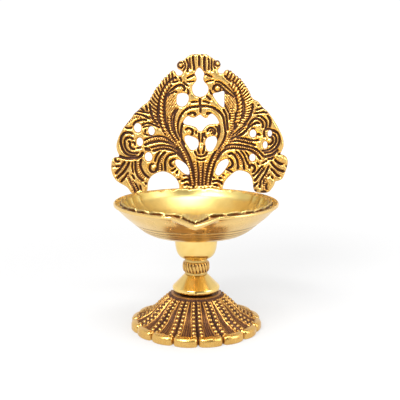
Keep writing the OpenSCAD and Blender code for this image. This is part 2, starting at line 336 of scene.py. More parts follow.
HEART = [
    (1.0, [(12.4, 107.7), (10.5, 109.3), (8.2, 110.7), (5, 111.5), (0.8, 111.4), (-2.4, 111.2),
           (-5.4, 110.6), (-7.6, 109.3)]),
    (0.9, [(12.4, 107.7), (13.6, 105.6), (14.3, 102.6), (14.7, 99.6), (15.1, 96.6), (14.4, 93.4),
           (13, 90.4), (11.2, 87.6)]),
    (0.9, [(13.6, 110), (15, 107.2), (15.7, 104.2), (15.9, 101), (16.4, 98)]),
    (0.7, [(-7.6, 109.3), (-9.6, 107), (-11, 104), (-11.6, 100.6), (-11.4, 97.4), (-10.4, 94.4)]),
    (0.9, [(-8.7, 102.4), (-9.6, 99.2), (-9.8, 95.8), (-9.2, 92.8), (-7.6, 90)]),
    (0.8, [(-11.6, 110.2), (-13.1, 107.6), (-13.9, 104.4), (-13.9, 101.4), (-13.4, 98.2), (-12.4, 95.2),
           (-11, 92.4)]),
    (0.5, [(-12.9, 109.4), (-14.9, 105.8), (-15.3, 101.8), (-14.6, 98.2)]),
    (0.9, [(11.3, 101.2), (11.6, 98), (11, 95), (10.4, 93)]),
    (0.8, [(1, 110.6), (1, 108)]),
    (1.0, [(-6, 106.8), (-4.7, 107.7), (-3.2, 108), (-2, 107.3), (-1.9, 106.3)]),
    (1.2, [(4.3, 107.4), (5.6, 107.7), (6.9, 107.7)]),
    (0.9, [(4.9, 97.4), (5.6, 99), (7.3, 99.5), (8.9, 98.6), (9.2, 97), (8.4, 95.6)]),
    (0.7, [(6.2, 97.6), (7.4, 98.2), (8.1, 97), (7, 96.2)]),
    (0.9, [(9.4, 100.6), (10.6, 99), (10.8, 96.6)]),
    (0.8, [(3.2, 96.8), (3.2, 95), (4.4, 94)]),
    (0.8, [(-7.4, 98.4), (-5.6, 99.4), (-3.7, 98.6), (-3.2, 97), (-3.9, 95.6)]),
    (0.7, [(-1.4, 97.9), (-1.3, 96)]),
    (0.7, [(0.2, 96.8), (0.3, 94), (0.8, 91.4)]),
    (0.7, [(2.2, 96.8), (2.2, 94), (1.9, 91.4)]),
    (0.9, [(-0.4, 89.6), (-0.3, 87), (0.5, 84.9)]),
    (0.9, [(3.2, 89.6), (3, 87.2), (2.2, 84.9)]),
    (0.8, [(-2.2, 86.6), (-1, 84.2), (1.3, 83.5), (3.6, 84.2), (4.8, 86.2)]),
    (0.8, [(-1.2, 82), (1.3, 81.3), (3.8, 82)]),
    (0.8, [(-0.6, 80.2), (-0.2, 76), (0, 72), (0, 67)]),
    (0.8, [(2.8, 80.2), (2.5, 76), (2.3, 72), (2.1, 67)]),
]
LEFT_FEATHER = [
    (1.0, [(-12.3, 127.4), (-14.9, 126.2), (-17.4, 123.8), (-19.2, 121.2), (-20.9, 117.7), (-21.8, 114),
           (-22.5, 110.8), (-22.6, 107.8), (-22.6, 104.5), (-21.4, 101.4), (-19.6, 98.6)]),
    (1.1, [(-27, 112.6), (-26.6, 109.2), (-25.8, 106.2), (-24.6, 103.6), (-22.6, 101.2)]),
    (1.1, [(-16.2, 119.4), (-14.4, 120.9), (-12.5, 122.4), (-10.6, 123.2), (-8.9, 123), (-7.8, 122),
           (-7.7, 120.6), (-8.6, 120)]),
    (0.8, [(-14.6, 124.6), (-12.6, 124.9), (-11.4, 125.6)]),
    (1.0, [(-16.2, 119.4), (-17.6, 117.4), (-18.6, 114.6), (-18.9, 111), (-18.8, 107.4), (-18.4, 104.2)]),
    (0.8, [(-17.4, 117), (-15.6, 118.2), (-13.4, 119.6), (-11.6, 119)]),
    (0.8, [(-18.4, 104.2), (-17.6, 100.6), (-16.4, 97.4), (-14.6, 94.6), (-12.8, 92.6)]),
]
RIGHT_FEATHER = [
    (0.8, [(9, 124.9), (11, 125), (13, 124), (15.1, 122.4), (18, 119.8), (20.1, 117.3), (21.2, 114.1),
           (21.9, 110), (22.3, 107.4), (22, 104.6), (21, 102), (19.6, 99.4)]),
    (0.9, [(8, 120.4), (8.4, 122.4), (10.1, 123.4), (12.3, 122.6), (13.9, 120.9), (16, 119.2),
           (18, 117.7), (19.6, 116.4)]),
    (0.9, [(13.3, 120.3), (14.8, 119), (16.4, 118.2)]),
    (0.8, [(14.3, 128.4), (16, 126.6), (18, 125), (19.4, 122.6)]),
    (1.1, [(29.9, 113), (29.8, 110), (28.8, 107), (27.3, 103.9), (25, 101.4)]),
    (0.8, [(14.4, 112.6), (15.9, 109.6), (17.1, 107.4), (17.2, 104)]),
    (0.8, [(20.6, 108), (20.4, 104.4), (19.8, 101)]),
    (0.7, [(24.3, 116), (25.3, 112), (25.2, 108), (24.4, 104.6)]),
]
LEFT_FAN = [
    (1.1, [(-29.4, 112), (-28.9, 110.4), (-28.7, 108.9)]),
    (0.9, [(-32.7, 110.6), (-31.4, 109.7), (-30.2, 108.8)]),
    (0.9, [(-34.6, 108.7), (-32.9, 108.6), (-30.4, 108.1), (-27.8, 107.8)]),
    (1.0, [(-36.1, 107.4), (-33.6, 107), (-30.7, 106.3), (-28.6, 105.3), (-27.2, 104.3)]),
    (1.0, [(-36.4, 100.8), (-35.7, 102.2), (-33.9, 103.3), (-31.4, 103.9), (-28.9, 103.8)]),
    (1.0, [(-31.5, 100.6), (-30, 101.7), (-28.2, 102), (-26.4, 101.7), (-25, 101.1), (-22.9, 100.2),
           (-21.4, 99.4)]),
    (0.7, [(-31.1, 99.6), (-28.6, 100.3), (-26.4, 100.3)]),
    (0.9, [(-41.1, 99.7), (-39.3, 99.2), (-37, 99.7)]),
    (0.9, [(-29.6, 98.6), (-29.8, 96.8)]),
    (0.8, [(-30.6, 96.1), (-28.4, 95.4), (-26, 95)]),
]
LEFT_SCROLL = [
    (1.1, [(-36.8, 96.1), (-39.3, 96.9), (-41.5, 96.4), (-43, 94.7), (-43.6, 92.2), (-43.2, 89.4),
           (-42.1, 86.6), (-40, 84.5), (-37.6, 83.7), (-35.2, 83.8)]),
    (0.9, [(-36.4, 93), (-38.2, 94), (-40, 93.8), (-41.3, 92.2), (-41.4, 89.7), (-40.5, 87.3),
           (-38.6, 85.7), (-36.1, 85.2), (-33.6, 85.4)]),
    (0.9, [(-39.4, 92), (-38.3, 91), (-38.4, 89), (-37.1, 87.6), (-35.6, 87.6)]),
    (0.7, [(-37.2, 91.2), (-35.9, 91.1), (-35.4, 89.4)]),
    (0.8, [(-34.7, 88), (-32.2, 88.6)]),
    (1.4, [(-44.8, 83.6), (-43, 82.9), (-40, 82.3), (-37.1, 82.4), (-34.3, 82.6), (-32.5, 83.7),
           (-31, 85.6)]),
    (1.5, [(-30, 88), (-28.6, 87.4), (-27, 87)]),
]
LEFT_LEAF = [
    (0.9, [(-30.6, 92.4), (-27.2, 93.8), (-24, 94.6), (-20.4, 94.6), (-18.1, 93.8), (-16, 92.1),
           (-13.9, 90.6)]),
    (1.1, [(-30.4, 89.8), (-27.9, 90.8), (-25.7, 91.4), (-22.9, 91.9), (-20, 91.8), (-17, 91.2),
           (-15.6, 90.7), (-13.4, 89.5), (-11.3, 87.4), (-9.1, 85.5), (-7.4, 83)]),
    (0.9, [(-26.8, 88.2), (-24.3, 89), (-21.8, 89.5), (-19.3, 89.7), (-17, 89.3), (-15.2, 88.9),
           (-13.1, 87.7), (-10.9, 85.6), (-9.1, 83.5), (-8, 82)]),
    (1.1, [(-25.7, 86.4), (-23.6, 87), (-21.4, 87.6), (-19.3, 87.8), (-17, 87.4), (-14.9, 87),
           (-12.4, 85.6), (-10.2, 83.5), (-8.4, 81), (-7, 79)]),
    (1.1, [(-9.8, 92), (-8, 88.6), (-6, 85), (-4.4, 81.2), (-3.3, 77), (-2.7, 73), (-2.2, 67)]),
    (0.9, [(-8, 82), (-6.6, 78), (-5.6, 74), (-4.9, 70), (-4.5, 66.6)]),
]
LEFT_ARCH = [
    (1.0, [(-27, 78.8), (-27.5, 77), (-27.2, 75.4), (-25.6, 74.5), (-24, 75), (-23.6, 76.6)]),
    (0.8, [(-26.8, 79), (-25, 79.2)]),
    (0.9, [(-24.6, 80.4), (-23.9, 82.9), (-22.5, 85.4), (-21.2, 86.2)]),
    (1.1, [(-22.9, 75.2), (-22.9, 78.3), (-21.9, 81.9), (-20.2, 84.4), (-18.6, 85.8)]),
    (0.7, [(-20.8, 79), (-20.5, 75.6)]),
    (1.1, [(-18.6, 75.2), (-18.9, 78.3), (-18.6, 81.1), (-17.3, 83.4), (-15.2, 84.6), (-12.7, 84.9)]),
    (1.0, [(-13, 82), (-14.8, 81.4), (-16, 80), (-15.6, 78.4), (-14, 77.7)]),
    (0.9, [(-15.2, 75.2), (-13.9, 75.9), (-12.8, 76.8)]),
    (0.9, [(-12.5, 73.8), (-11.6, 75.4)]),
    (0.8, [(-12.6, 70.4), (-10, 70.6)]),
    (1.1, [(-9.6, 69.2), (-7, 70.3), (-4.6, 69.6), (-3.2, 67.6), (-2.8, 65.6)]),
    (1.0, [(-8.2, 67), (-6.8, 67.8), (-5.3, 67)]),
    (0.9, [(-8.8, 72.4), (-6.6, 72.6), (-4.9, 71.5)]),
]
LEFT_LOBE = [
    (0.9, [(-47, 82.3), (-46.8, 81), (-45.8, 80.3), (-44.5, 80.6)]),
    (0.9, [(-48.7, 77.6), (-48, 77.6)]),
    (1.0, [(-46.8, 77.6), (-44.2, 77.9)]),
    (1.1, [(-41.4, 80.3), (-42.9, 78.3), (-44.6, 75.9), (-46.9, 73.4)]),
    (1.1, [(-38.9, 80.1), (-40.4, 77.2), (-42.1, 74.7), (-44.3, 72.5), (-46.3, 70.9)]),
    (0.9, [(-39.6, 74.2), (-41.4, 71.5), (-43.9, 68.8)]),
    (0.8, [(-37.1, 80), (-37.3, 77), (-36.8, 74)]),
    (1.1, [(-35.4, 80.6), (-35.5, 76.1), (-34.4, 72.6), (-32.9, 70.8), (-31, 69.3)]),
    (1.2, [(-32.1, 82), (-32.8, 78.6), (-32.1, 76), (-30.7, 73.6), (-28.9, 71.9), (-27.8, 71.2)]),
    (1.0, [(-39.3, 71.2), (-38.2, 68), (-36.4, 65), (-36, 62.8)]),
    (1.0, [(-35.8, 68), (-34.6, 65.8), (-33.8, 64)]),
    (0.8, [(-33, 67), (-32.5, 64.2)]),
    (1.1, [(-30.2, 68.4), (-29.2, 67.6)]),
    (1.0, [(-37.4, 73), (-36.2, 70.4)]),
]
RIGHT_FAN = [
    (0.9, [(31.4, 109.4), (33.7, 110.1), (35.7, 110.7)]),
    (0.9, [(32.6, 112), (34, 112.3)]),
    (0.9, [(30.5, 107.6), (33.4, 107.9), (35.9, 108.3), (38.4, 107.8)]),
    (1.1, [(38, 106.6), (39.4, 104.8), (39.9, 102.6), (39.3, 100)]),
    (1.0, [(32.3, 106.1), (34.4, 106), (36.2, 104.8), (37.5, 103), (37.7, 100.8), (37, 98.8)]),
    (1.1, [(27.4, 100.4), (29.1, 102.9), (30.9, 104.6), (33, 104.6), (34.8, 103.4), (35.8, 101.6),
           (35.6, 99.6)]),
    (1.0, [(26.6, 98.8), (28.7, 100.4), (30.5, 101.7), (32.3, 102.4), (34.2, 102.2)]),
    (1.0, [(29.6, 99.2), (31.2, 99.6)]),
    (0.9, [(31.9, 95.8), (33.3, 96.2), (34.4, 95.6)]),
    (0.9, [(36.6, 98.4), (36.4, 96.4), (36.8, 94.4)]),
]
RIGHT_SCROLL = [
    (1.0, [(37.2, 98.4), (38.7, 99.1), (40.9, 98.3), (43, 97.5), (44.5, 95.8), (45.1, 93.3),
           (44.6, 90.8), (43.1, 88.3), (40.9, 86.6), (38.6, 85.8), (36.6, 85.7)]),
    (1.0, [(40.9, 96), (42.4, 95.4), (43.2, 93.6), (43, 91.4), (41.6, 89.4), (39.8, 87.8), (37.6, 87),
           (35.4, 86.8)]),
    (0.9, [(39.2, 94.5), (40.6, 94.5), (41.4, 93.2), (41, 91.2), (39.4, 90.2)]),
    (0.9, [(38, 91), (39, 90.2)]),
    (1.3, [(44.3, 87.4), (42.7, 85.8), (40.9, 84.5), (38.4, 83.7), (36.8, 83.3)]),
    (1.1, [(42, 83.2), (40.6, 82.4), (38.6, 82.1)]),
    (0.9, [(44.4, 84.8), (45.6, 85.4)]),
]
RIGHT_LEAF = [
    (0.8, [(18.4, 94.8), (21.8, 97.8), (24.6, 100), (27, 101.8)]),
    (0.8, [(16.8, 94.4), (19.4, 98.2), (21.6, 100.9)]),
    (0.6, [(20.6, 95.4), (23.6, 98), (26, 99.7)]),
    (1.2, [(18, 93.2), (20.2, 94.4), (22.6, 95.2), (25.1, 96.9), (27, 98.6)]),
    (1.0, [(21.4, 93.9), (24.1, 93.8), (26.2, 93.5), (28.4, 92.9), (30.9, 92.6), (33.6, 92.9)]),
    (1.1, [(17.6, 91.6), (20, 92.2), (22.3, 92.2), (25.1, 91.7), (27.6, 91.1), (30.1, 90.5), (31.9, 89.8)]),
    (1.1, [(14.6, 88.6), (16.4, 89.8), (18.4, 90.2), (20.5, 90.3), (23, 90), (25.9, 89.5), (28.4, 89),
           (30.9, 88.2), (32.6, 87.3), (34.1, 86), (35.5, 84.6), (36.3, 83.4)]),
    (1.2, [(10.2, 81.6), (11.6, 84.2), (13.4, 86.4), (15.6, 87.8), (18, 88.2), (20.1, 88.3), (22.6, 88),
           (25.1, 87.7), (28.4, 87.2), (30.5, 86.1), (32.3, 84.7), (33.7, 83.2), (34.8, 82)]),
    (0.9, [(9.2, 86.4), (7.4, 83), (6, 79.6), (5, 75.8), (4.3, 72), (4, 67.4)]),
    (1.0, [(12.4, 88), (10.4, 83.6), (9, 79.8), (7.9, 75.6), (7, 71.4), (6.5, 67.6)]),
]
RIGHT_ARCH = [
    (1.1, [(16.6, 84.8), (18.4, 85.3), (19.9, 84.4), (21.2, 82.6), (21.9, 80.4), (22.2, 77.9),
           (21.8, 76.4)]),
    (1.0, [(20.9, 86.5), (22.6, 85.1), (24.1, 82.9), (25, 80.4), (25.4, 77.9), (25.6, 76.2)]),
    (1.0, [(23.4, 86.8), (25.1, 85), (26.2, 82.6), (27.2, 80.4), (28, 78.6)]),
    (1.0, [(28.4, 76.9), (28.7, 78.3), (30.1, 78.8), (31.5, 77.8), (31.4, 76), (30.2, 74.4)]),
    (1.0, [(32.6, 80), (33.8, 79.1)]),
    (0.8, [(26, 86.4), (27.6, 84.4), (28.2, 82)]),
    (1.1, [(17, 82.6), (18.6, 81.2), (19.1, 79.2), (18, 77.4), (16.4, 77)]),
    (0.9, [(15.4, 76.4), (17.4, 75.6), (19, 74.6)]),
    (0.9, [(13.2, 73.4), (14.4, 72.6)]),
    (1.1, [(7.6, 69.2), (10, 69.7), (12.4, 69), (13.4, 67.7)]),
    (0.9, [(8.4, 67.4), (9.8, 67.4), (11, 66.7)]),
    (1.2, [(7.8, 71.8), (9, 71.4)]),
    (1.2, [(11.4, 71.7), (13, 71)]),
]
RIGHT_LOBE = [
    (1.1, [(35.9, 78.3), (33.8, 75.8), (31.9, 73.6), (30.3, 72.5)]),
    (1.1, [(36.9, 77.2), (35.1, 74.7), (33, 71.9), (31.4, 69.6)]),
    (1.0, [(39.4, 78.3), (38.4, 76.1), (37.3, 73.6), (35.9, 71.5), (34.8, 69), (34.3, 66)]),
    (1.0, [(33.4, 68.7), (31.9, 67.6), (31.1, 66.3)]),
    (1.0, [(40.5, 76.7), (42.3, 75.1), (43.7, 73.3), (45.5, 72.4)]),
    (1.1, [(40.4, 80.8), (41.9, 78.6), (43.7, 76.9), (45.5, 75.9), (48, 75.1)]),
    (1.1, [(42.5, 82), (44.1, 80.4), (45.9, 79.5), (47.4, 79.4)]),
    (0.9, [(48.8, 78.4), (49.5, 78)]),
    (0.9, [(39.8, 73.6), (39, 72.4)]),
    (0.9, [(40.9, 72.6), (41.8, 71)]),
    (0.8, [(38.5, 68.4), (38, 66.6), (38.5, 64.6)]),
    (0.9, [(35.1, 63.7), (38, 63.6)]),
    (1.0, [(31.6, 64.6), (32.6, 64.2)]),
    (0.8, [(36.6, 70.6), (36.4, 67.6)]),
    (0.8, [(38.4, 81.4), (36.6, 80.4), (35.4, 79.6)]),
]
GROOVES = (CREST + NECK + LEFT_FEATHER + RIGHT_FEATHER + LEFT_FAN + LEFT_LEAF + LEFT_ARCH + LEFT_LOBE
           + RIGHT_FAN + RIGHT_LEAF + RIGHT_ARCH + RIGHT_LOBE)
GROOVES += [(width + 0.15, points) for width, points in HEART + LEFT_SCROLL + RIGHT_SCROLL]

# Rows of slanted barbs as (half width, pitch, slant at the start, slant at the end, depth, points). The
# slant is how far back along the row a barb leans at its outer end, for each mm of width.
BARBS = [
    (3.4, 2.2, 0.6, 0.9, 1.0, [(-13.6, 129.2), (-16.4, 127), (-19.4, 124.2), (-22, 120.6),
                               (-23.9, 116.8), (-24.7, 112.8), (-24.6, 109), (-24.1, 105.6), (-22.2, 102)]),
    (3.0, 2.1, -0.2, -0.2, 0.8, [(15.4, 130.2), (18.6, 128), (21.2, 125.8), (23, 123.6)]),
    (2.9, 1.6, -0.3, -0.3, 0.85, [(23, 123.6), (25, 120.4), (26.6, 117.2), (27.4, 114)]),
    (2.6, 1.5, -0.45, -0.45, 0.85, [(27.4, 114), (27.6, 110.6), (27, 107.6), (25.4, 104.4), (23.2, 101.6)]),
    (1.3, 1.4, 0.0, 0.0, 0.75, [(18.4, 111), (18.6, 108), (18.6, 105), (18.5, 102), (18, 99.4)]),
]

# Rows of rounded strands like a rope, as (half width, pitch, slant, points)
ROPES = [
    (1.35, 2.0, 0.5, [(-15.6, 124), (-17.6, 121.6), (-19.2, 118.8), (-20.2, 115.8), (-20.6, 112.4),
                      (-20.7, 109), (-20.5, 105.4), (-19.9, 102), (-18.9, 98.8), (-17.2, 95.6)]),
    (1.6, 2.0, -0.5, [(17.4, 124.6), (19.8, 122), (21.4, 119.2), (22.4, 115.8), (22.9, 112.4),
                      (22.9, 109), (22.3, 105.6), (21.1, 102.2)]),
    (1.1, 1.35, 0.2, [(-16.2, 106), (-16.1, 103), (-15.8, 100), (-15, 97), (-13.4, 94.2), (-11.4, 91.6)]),
    (1.0, 1.5, 0.3, [(-11.6, 90.4), (-9.2, 86.6), (-7.3, 83), (-5.7, 79), (-4.6, 75), (-3.8, 71),
                     (-3.2, 66.8)]),
    (1.1, 1.6, -0.2, [(11.2, 86.6), (9.2, 83), (7.6, 79.4), (6.4, 75.4), (5.6, 71.4), (5.1, 67.2)]),
]

# Rows of round beads as (bead radius, pitch, points)
BEADS = [
    (0.75, 1.75, [(17.6, 131), (20.4, 129.4), (23, 127.2), (25, 124.4), (26.4, 121.4)]),
    (0.62, 1.35, [(18.2, 99.4), (17.4, 96), (16, 93.4), (14.2, 91), (12.6, 88.6), (11, 85.6), (9.4, 82)]),
    (0.55, 1.25, [(19.8, 98.6), (18.6, 95.6), (17, 93)]),
    (0.6, 1.3, [(-18.6, 97.6), (-16.8, 94.8), (-14.4, 92.2), (-12, 89.4)]),
    (0.62, 1.5, [(-2.6, 80.4), (-2, 77), (-1.5, 73), (-1.2, 67.4)]),
    (0.6, 1.4, [(1.2, 79.8), (1.2, 76), (1.2, 72), (1.1, 67.2)]),
    (0.62, 1.5, [(4.6, 79.6), (4, 76), (3.5, 72), (3.2, 67.4)]),
    (0.5, 1.15, [(-29, 91.4), (-25.6, 92.9), (-22, 93.3), (-18.6, 92.7), (-15.4, 91), (-12.6, 88.6)]),
    (0.48, 1.1, [(-25.4, 87.4), (-22, 88.4), (-18.4, 88.7), (-15, 87.9), (-12, 86)]),
    (0.5, 1.15, [(-19.6, 83.6), (-20.8, 81), (-21.4, 78), (-21.4, 75.6)]),
    (0.48, 1.1, [(29.6, 91.6), (26, 92.4), (22.6, 93), (19.6, 92.7), (16.8, 91.2)]),
    (0.5, 1.15, [(33.6, 85.2), (30.6, 87.4), (26.6, 88.3), (22.6, 88.9), (18.6, 89.1), (15, 88)]),
    (0.5, 1.15, [(23.6, 79), (23.4, 81.4), (22.4, 83.8), (20.6, 85.5)]),
    (0.5, 1.2, [(-40.2, 73.2), (-39.2, 70), (-37.6, 66.8), (-36.9, 63.6)]),
    (0.5, 1.2, [(-37.2, 69.2), (-35.6, 66.4), (-34.8, 63.6)]),
    (0.55, 1.3, [(38.2, 73.4), (37.6, 70.4), (37, 67.4), (36.9, 64.6)]),
    (0.6, 1.25, [(-33.7, 80), (-34, 77), (-33.4, 74.4), (-32.2, 72.2), (-30.6, 70.8)]),
    (0.45, 1.2, [(-40.6, 101.6), (-38.6, 103), (-36.6, 104.6), (-34.4, 105.4), (-32, 105)]),
]

# Round bosses as (x, z, radius, height)
BOSSES = [
    (-9.9, 134, 1.1, 0.5), (10.4, 134.9, 1.1, 0.4), (-9.7, 121, 1.4, 0.5), (10.4, 121.6, 1.5, 0.5),
    (-5.4, 97.2, 1.7, 0.5), (7.2, 97.2, 0.9, 0.4), (-3.4, 106.6, 0.9, 0.4), (3.8, 106.5, 1.2, 0.4),
    (1.3, 88, 1.5, 0.6), (-36.9, 89.6, 0.9, 0.4), (39.8, 92.6, 1.2, 0.5), (33, 94.4, 0.9, 0.5),
    (35.2, 94.4, 0.8, 0.5), (33.4, 99.9, 1.3, 0.3), (-45.5, 81.9, 0.7, 0.4), (-25.4, 76.8, 1.1, 0.4),
    (29.9, 76.7, 1.1, 0.4), (-14.2, 79.6, 1.1, 0.5), (47.2, 82.2, 1.2, 0.4), (-11, 72.4, 1.2, 0.4),
]
# Rings of groove round a boss as (x, z, ring radius, groove width)
RINGS = [(-9.9, 134, 1.5, 0.8), (10.4, 134.9, 1.5, 0.6), (10.4, 121.6, 2.1, 0.6)]

# Patches of chased lines as (x, z, half width, half height, direction in degrees, pitch)
CHASED = [(-15.4, 112.6, 3.3, 6.6, 55, 1.15), (17.4, 113.4, 3.4, 5.6, -55, 1.15),
          (-17.6, 107, 2.4, 3, 60, 1.15), (-13.6, 101, 1.6, 4.5, 20, 1.2)]

CELL = 0.25          # spacing of the relief's grid
EDGE_REACH = 2.6     # distances from the border are capped at this
ROOM_LIMIT = 1.7     # distance from a groove at which the metal reaches its full height
EDGE_THICK = 1.5     # thickness at the border
FLOOR_THICK = 1.7    # thickness that the relief stands on
TANG_THICK = 3.95    # thickness where the panel is screwed on
THINNEST = 0.8
THICKEST = 3.98
FIELD = 1.6          # height of the uncut metal
SERRATION = 0.55     # how far a notch cuts into the border
BACK_BEVEL = 0.3
BACK_INSET = 0.2
BEVEL_TONE = 0.35    # patina
BACK_TONE = 0.45     # patina


class Relief:
    """A height map over the panel's plane, in mm."""

    def __init__(self, x_low, x_high, z_low, z_high):
        self.x = np.arange(x_low, x_high + CELL, CELL)
        self.z = np.arange(z_low, z_high + CELL, CELL)
        self.grid_x, self.grid_z = np.meshgrid(self.x, self.z, indexing="ij")
        self.carve = np.zeros(self.grid_x.shape)
        self.lift = np.zeros(self.grid_x.shape)
        self.notch = np.zeros(self.grid_x.shape)
        self.room = np.full(self.grid_x.shape, ROOM_LIMIT)

    def window(self, points, reach):
        """The slices of the grid within reach of the points."""
        i0, i1 = np.searchsorted(self.x, (points[:, 0].min() - reach, points[:, 0].max() + reach))
        j0, j1 = np.searchsorted(self.z, (points[:, 1].min() - reach, points[:, 1].max() + reach))
        return slice(i0, i1), slice(j0, j1)

    def near(self, points, reach):
        """Distance to a path, signed side offset and length along it, over the path's window."""
        part = self.window(points, reach)
        gx, gz = self.grid_x[part], self.grid_z[part]
        best = np.full(gx.shape, 1e9)
        index = np.zeros(gx.shape, int)
        for k, (px, pz) in enumerate(points):
            d = (gx - px) ** 2 + (gz - pz) ** 2
            closer = d < best
            best[closer] = d[closer]
            index[closer] = k
        along = np.concatenate([[0], np.cumsum(np.linalg.norm(np.diff(points, axis=0), axis=1))])
        tangent = np.gradient(points, axis=0)
        tangent /= np.linalg.norm(tangent, axis=1)[:, None] + 1e-9
        dx, dz = gx - points[index, 0], gz - points[index, 1]
        tx, tz = tangent[index, 0], tangent[index, 1]
        side = dx * tz - dz * tx
        length = along[index] + dx * tx + dz * tz
        return part, np.sqrt(best), side, length, along[-1]

    def groove(self, width, points):
        """A rounded groove. It also limits the room that the domed metal beside it has."""
        path = spline(points, 0.2)
        part, distance, _, length, total = self.near(path, ROOM_LIMIT)
        taper = np.clip(np.minimum(length, total - length) / 0.8 + 0.55, 0.25, 1)
        core = np.clip(1 - (distance / (0.69 * width * taper)) ** 2, 0, 1) ** 0.8
        self.carve[part] = np.maximum(self.carve[part], core)
        self.room[part] = np.minimum(self.room[part], distance)

    def barbs(self, half_width, pitch, slant_start, slant_end, depth, points):
        """A row of slanted cuts across a path, fading at both ends."""
        path = spline(points, 0.25)
        part, distance, side, length, total = self.near(path, half_width)
        slant = slant_start + (slant_end - slant_start) * np.clip(length / total, 0, 1)
        wave = 0.5 - 0.5 * np.cos(TAU * (length + slant * side) / pitch)
        across = smooth_step(half_width, 0.8 * half_width, distance)
        ends = smooth_step(-0.6, 0.6, length) * smooth_step(-0.6, 0.6, total - length)
        self.carve[part] = np.maximum(self.carve[part], depth * wave**1.8 * across * ends)
        self.lift[part] += 0.2 * (1 - wave) ** 2 * across * ends
        self.notch[part] = np.maximum(self.notch[part], wave**2 * across * ends)

    def rope(self, half_width, pitch, slant, points):
        """A raised strand of slanted ovals between two narrow grooves."""
        path = spline(points, 0.2)
        part, distance, side, length, total = self.near(path, half_width + 0.5)
        inside = smooth_step(-0.5, 0.5, length) * smooth_step(-0.5, 0.5, total - length)
        turn = (length + slant * side) / pitch
        offset = (turn - np.floor(turn) - 0.5) * 2
        oval = np.clip(1 - offset**2 - (side / half_width) ** 2, 0, 1) ** 0.5
        band = smooth_step(half_width + 0.5, half_width, distance) * inside
        self.carve[part] = self.carve[part] * (1 - band) + band * (1 - oval) * 0.95
        self.lift[part] = np.maximum(self.lift[part] * (1 - band), 0.35 * oval * inside)

    def beads(self, radius, pitch, points):
        """A row of round beads in a shallow channel."""
        path = spline(points, 0.2)
        part, distance, _, length, total = self.near(path, radius + 0.5)
        inside = (length > -0.3) & (length < total + 0.3)
        offset = (length / pitch - np.floor(length / pitch) - 0.5) * pitch
        dome = np.clip(1 - (distance**2 + offset**2) / radius**2, 0, 1) ** 0.5
        channel = np.clip(1.35 - distance / (radius + 0.15), 0, 1) * inside
        self.carve[part] = np.maximum(self.carve[part] * (1 - 0.6 * channel), 0.9 * channel * (1 - dome))
        self.lift[part] = np.maximum(self.lift[part], 0.3 * dome * inside)

    def chase(self, x, z, half_x, half_z, direction, pitch):
        """An oval patch of fine lines broken into dashes."""
        gx, gz = self.grid_x - x, self.grid_z - z
        weight = smooth_step(1.1, 0.8, (gx / half_x) ** 2 + (gz / half_z) ** 2)
        turn = math.radians(direction)
        across = -gx * math.sin(turn) + gz * math.cos(turn)
        along = gx * math.cos(turn) + gz * math.sin(turn)
        row = np.floor(across / pitch)
        line = 0.5 - 0.5 * np.cos(TAU * across / pitch)
        dash = 0.5 - 0.5 * np.cos(TAU * (along / (3.1 * pitch) + 0.37 * row))
        cut = 0.7 * weight * (1 - line) * (0.55 + 0.45 * dash)
        self.carve = np.maximum(self.carve * (1 - 0.5 * weight), cut)

    def boss(self, x, z, radius, height):
        """A round knob."""
        part, distance, *_ = self.near(np.array([[x, z], [x + 0.01, z]]), radius)
        dome = np.clip(1 - (distance / radius) ** 2, 0, 1)
        self.carve[part] *= 1 - 0.9 * dome**0.5
        self.lift[part] = np.maximum(self.lift[part], height * dome**0.6)


def blur(field, cells):
    """A box blur, done twice, that keeps the field's shape."""
    for _ in range(2):
        for axis in (0, 1):
            pad = [(cells + 1, cells) if a == axis else (0, 0) for a in (0, 1)]
            total = np.cumsum(np.pad(field, pad, mode="edge"), axis=axis)
            n = field.shape[axis]
            upper = np.take(total, np.arange(n) + 2 * cells + 1, axis=axis)
            lower = np.take(total, np.arange(n), axis=axis)
            field = (upper - lower) / (2 * cells + 1)
    return field


def value_noise(shape, cells):
    """Smooth random bumps about so many cells apart, from -1 to 1."""
    n = [int(s / cells) + 3 for s in shape]
    grid = rng.uniform(-1, 1, n)
    i, j = [np.arange(s) / cells for s in shape]
    i0, j0 = i.astype(int), j.astype(int)
    fi, fj = i - i0, j - j0
    fi, fj = (fi * fi * (3 - 2 * fi))[:, None], (fj * fj * (3 - 2 * fj))[None, :]
    a, b = grid[np.ix_(i0, j0)], grid[np.ix_(i0 + 1, j0)]
    c, d = grid[np.ix_(i0, j0 + 1)], grid[np.ix_(i0 + 1, j0 + 1)]
    return (a * (1 - fi) + b * fi) * (1 - fj) + (c * (1 - fi) + d * fi) * fj


def flat_face_edges(node, y):
    """The border of a node's flat face at y, as an array of (x, z) pairs of points, in mm."""
    mesh = frame["nodes"][node].data
    uses = {}
    for polygon in mesh.polygons:
        corners = [mesh.vertices[i].co / MM for i in polygon.vertices]
        if max(abs(c.y - y) for c in corners) > 0.01:
            continue
        keys = [(round(c.x, 3), round(c.z, 3)) for c in corners]
        for a, b in zip(keys, keys[1:] + keys[:1]):
            uses[frozenset((a, b))] = uses.get(frozenset((a, b)), 0) + 1
    return np.array([list(edge) for edge, count in uses.items() if count == 1 and len(edge) == 2])


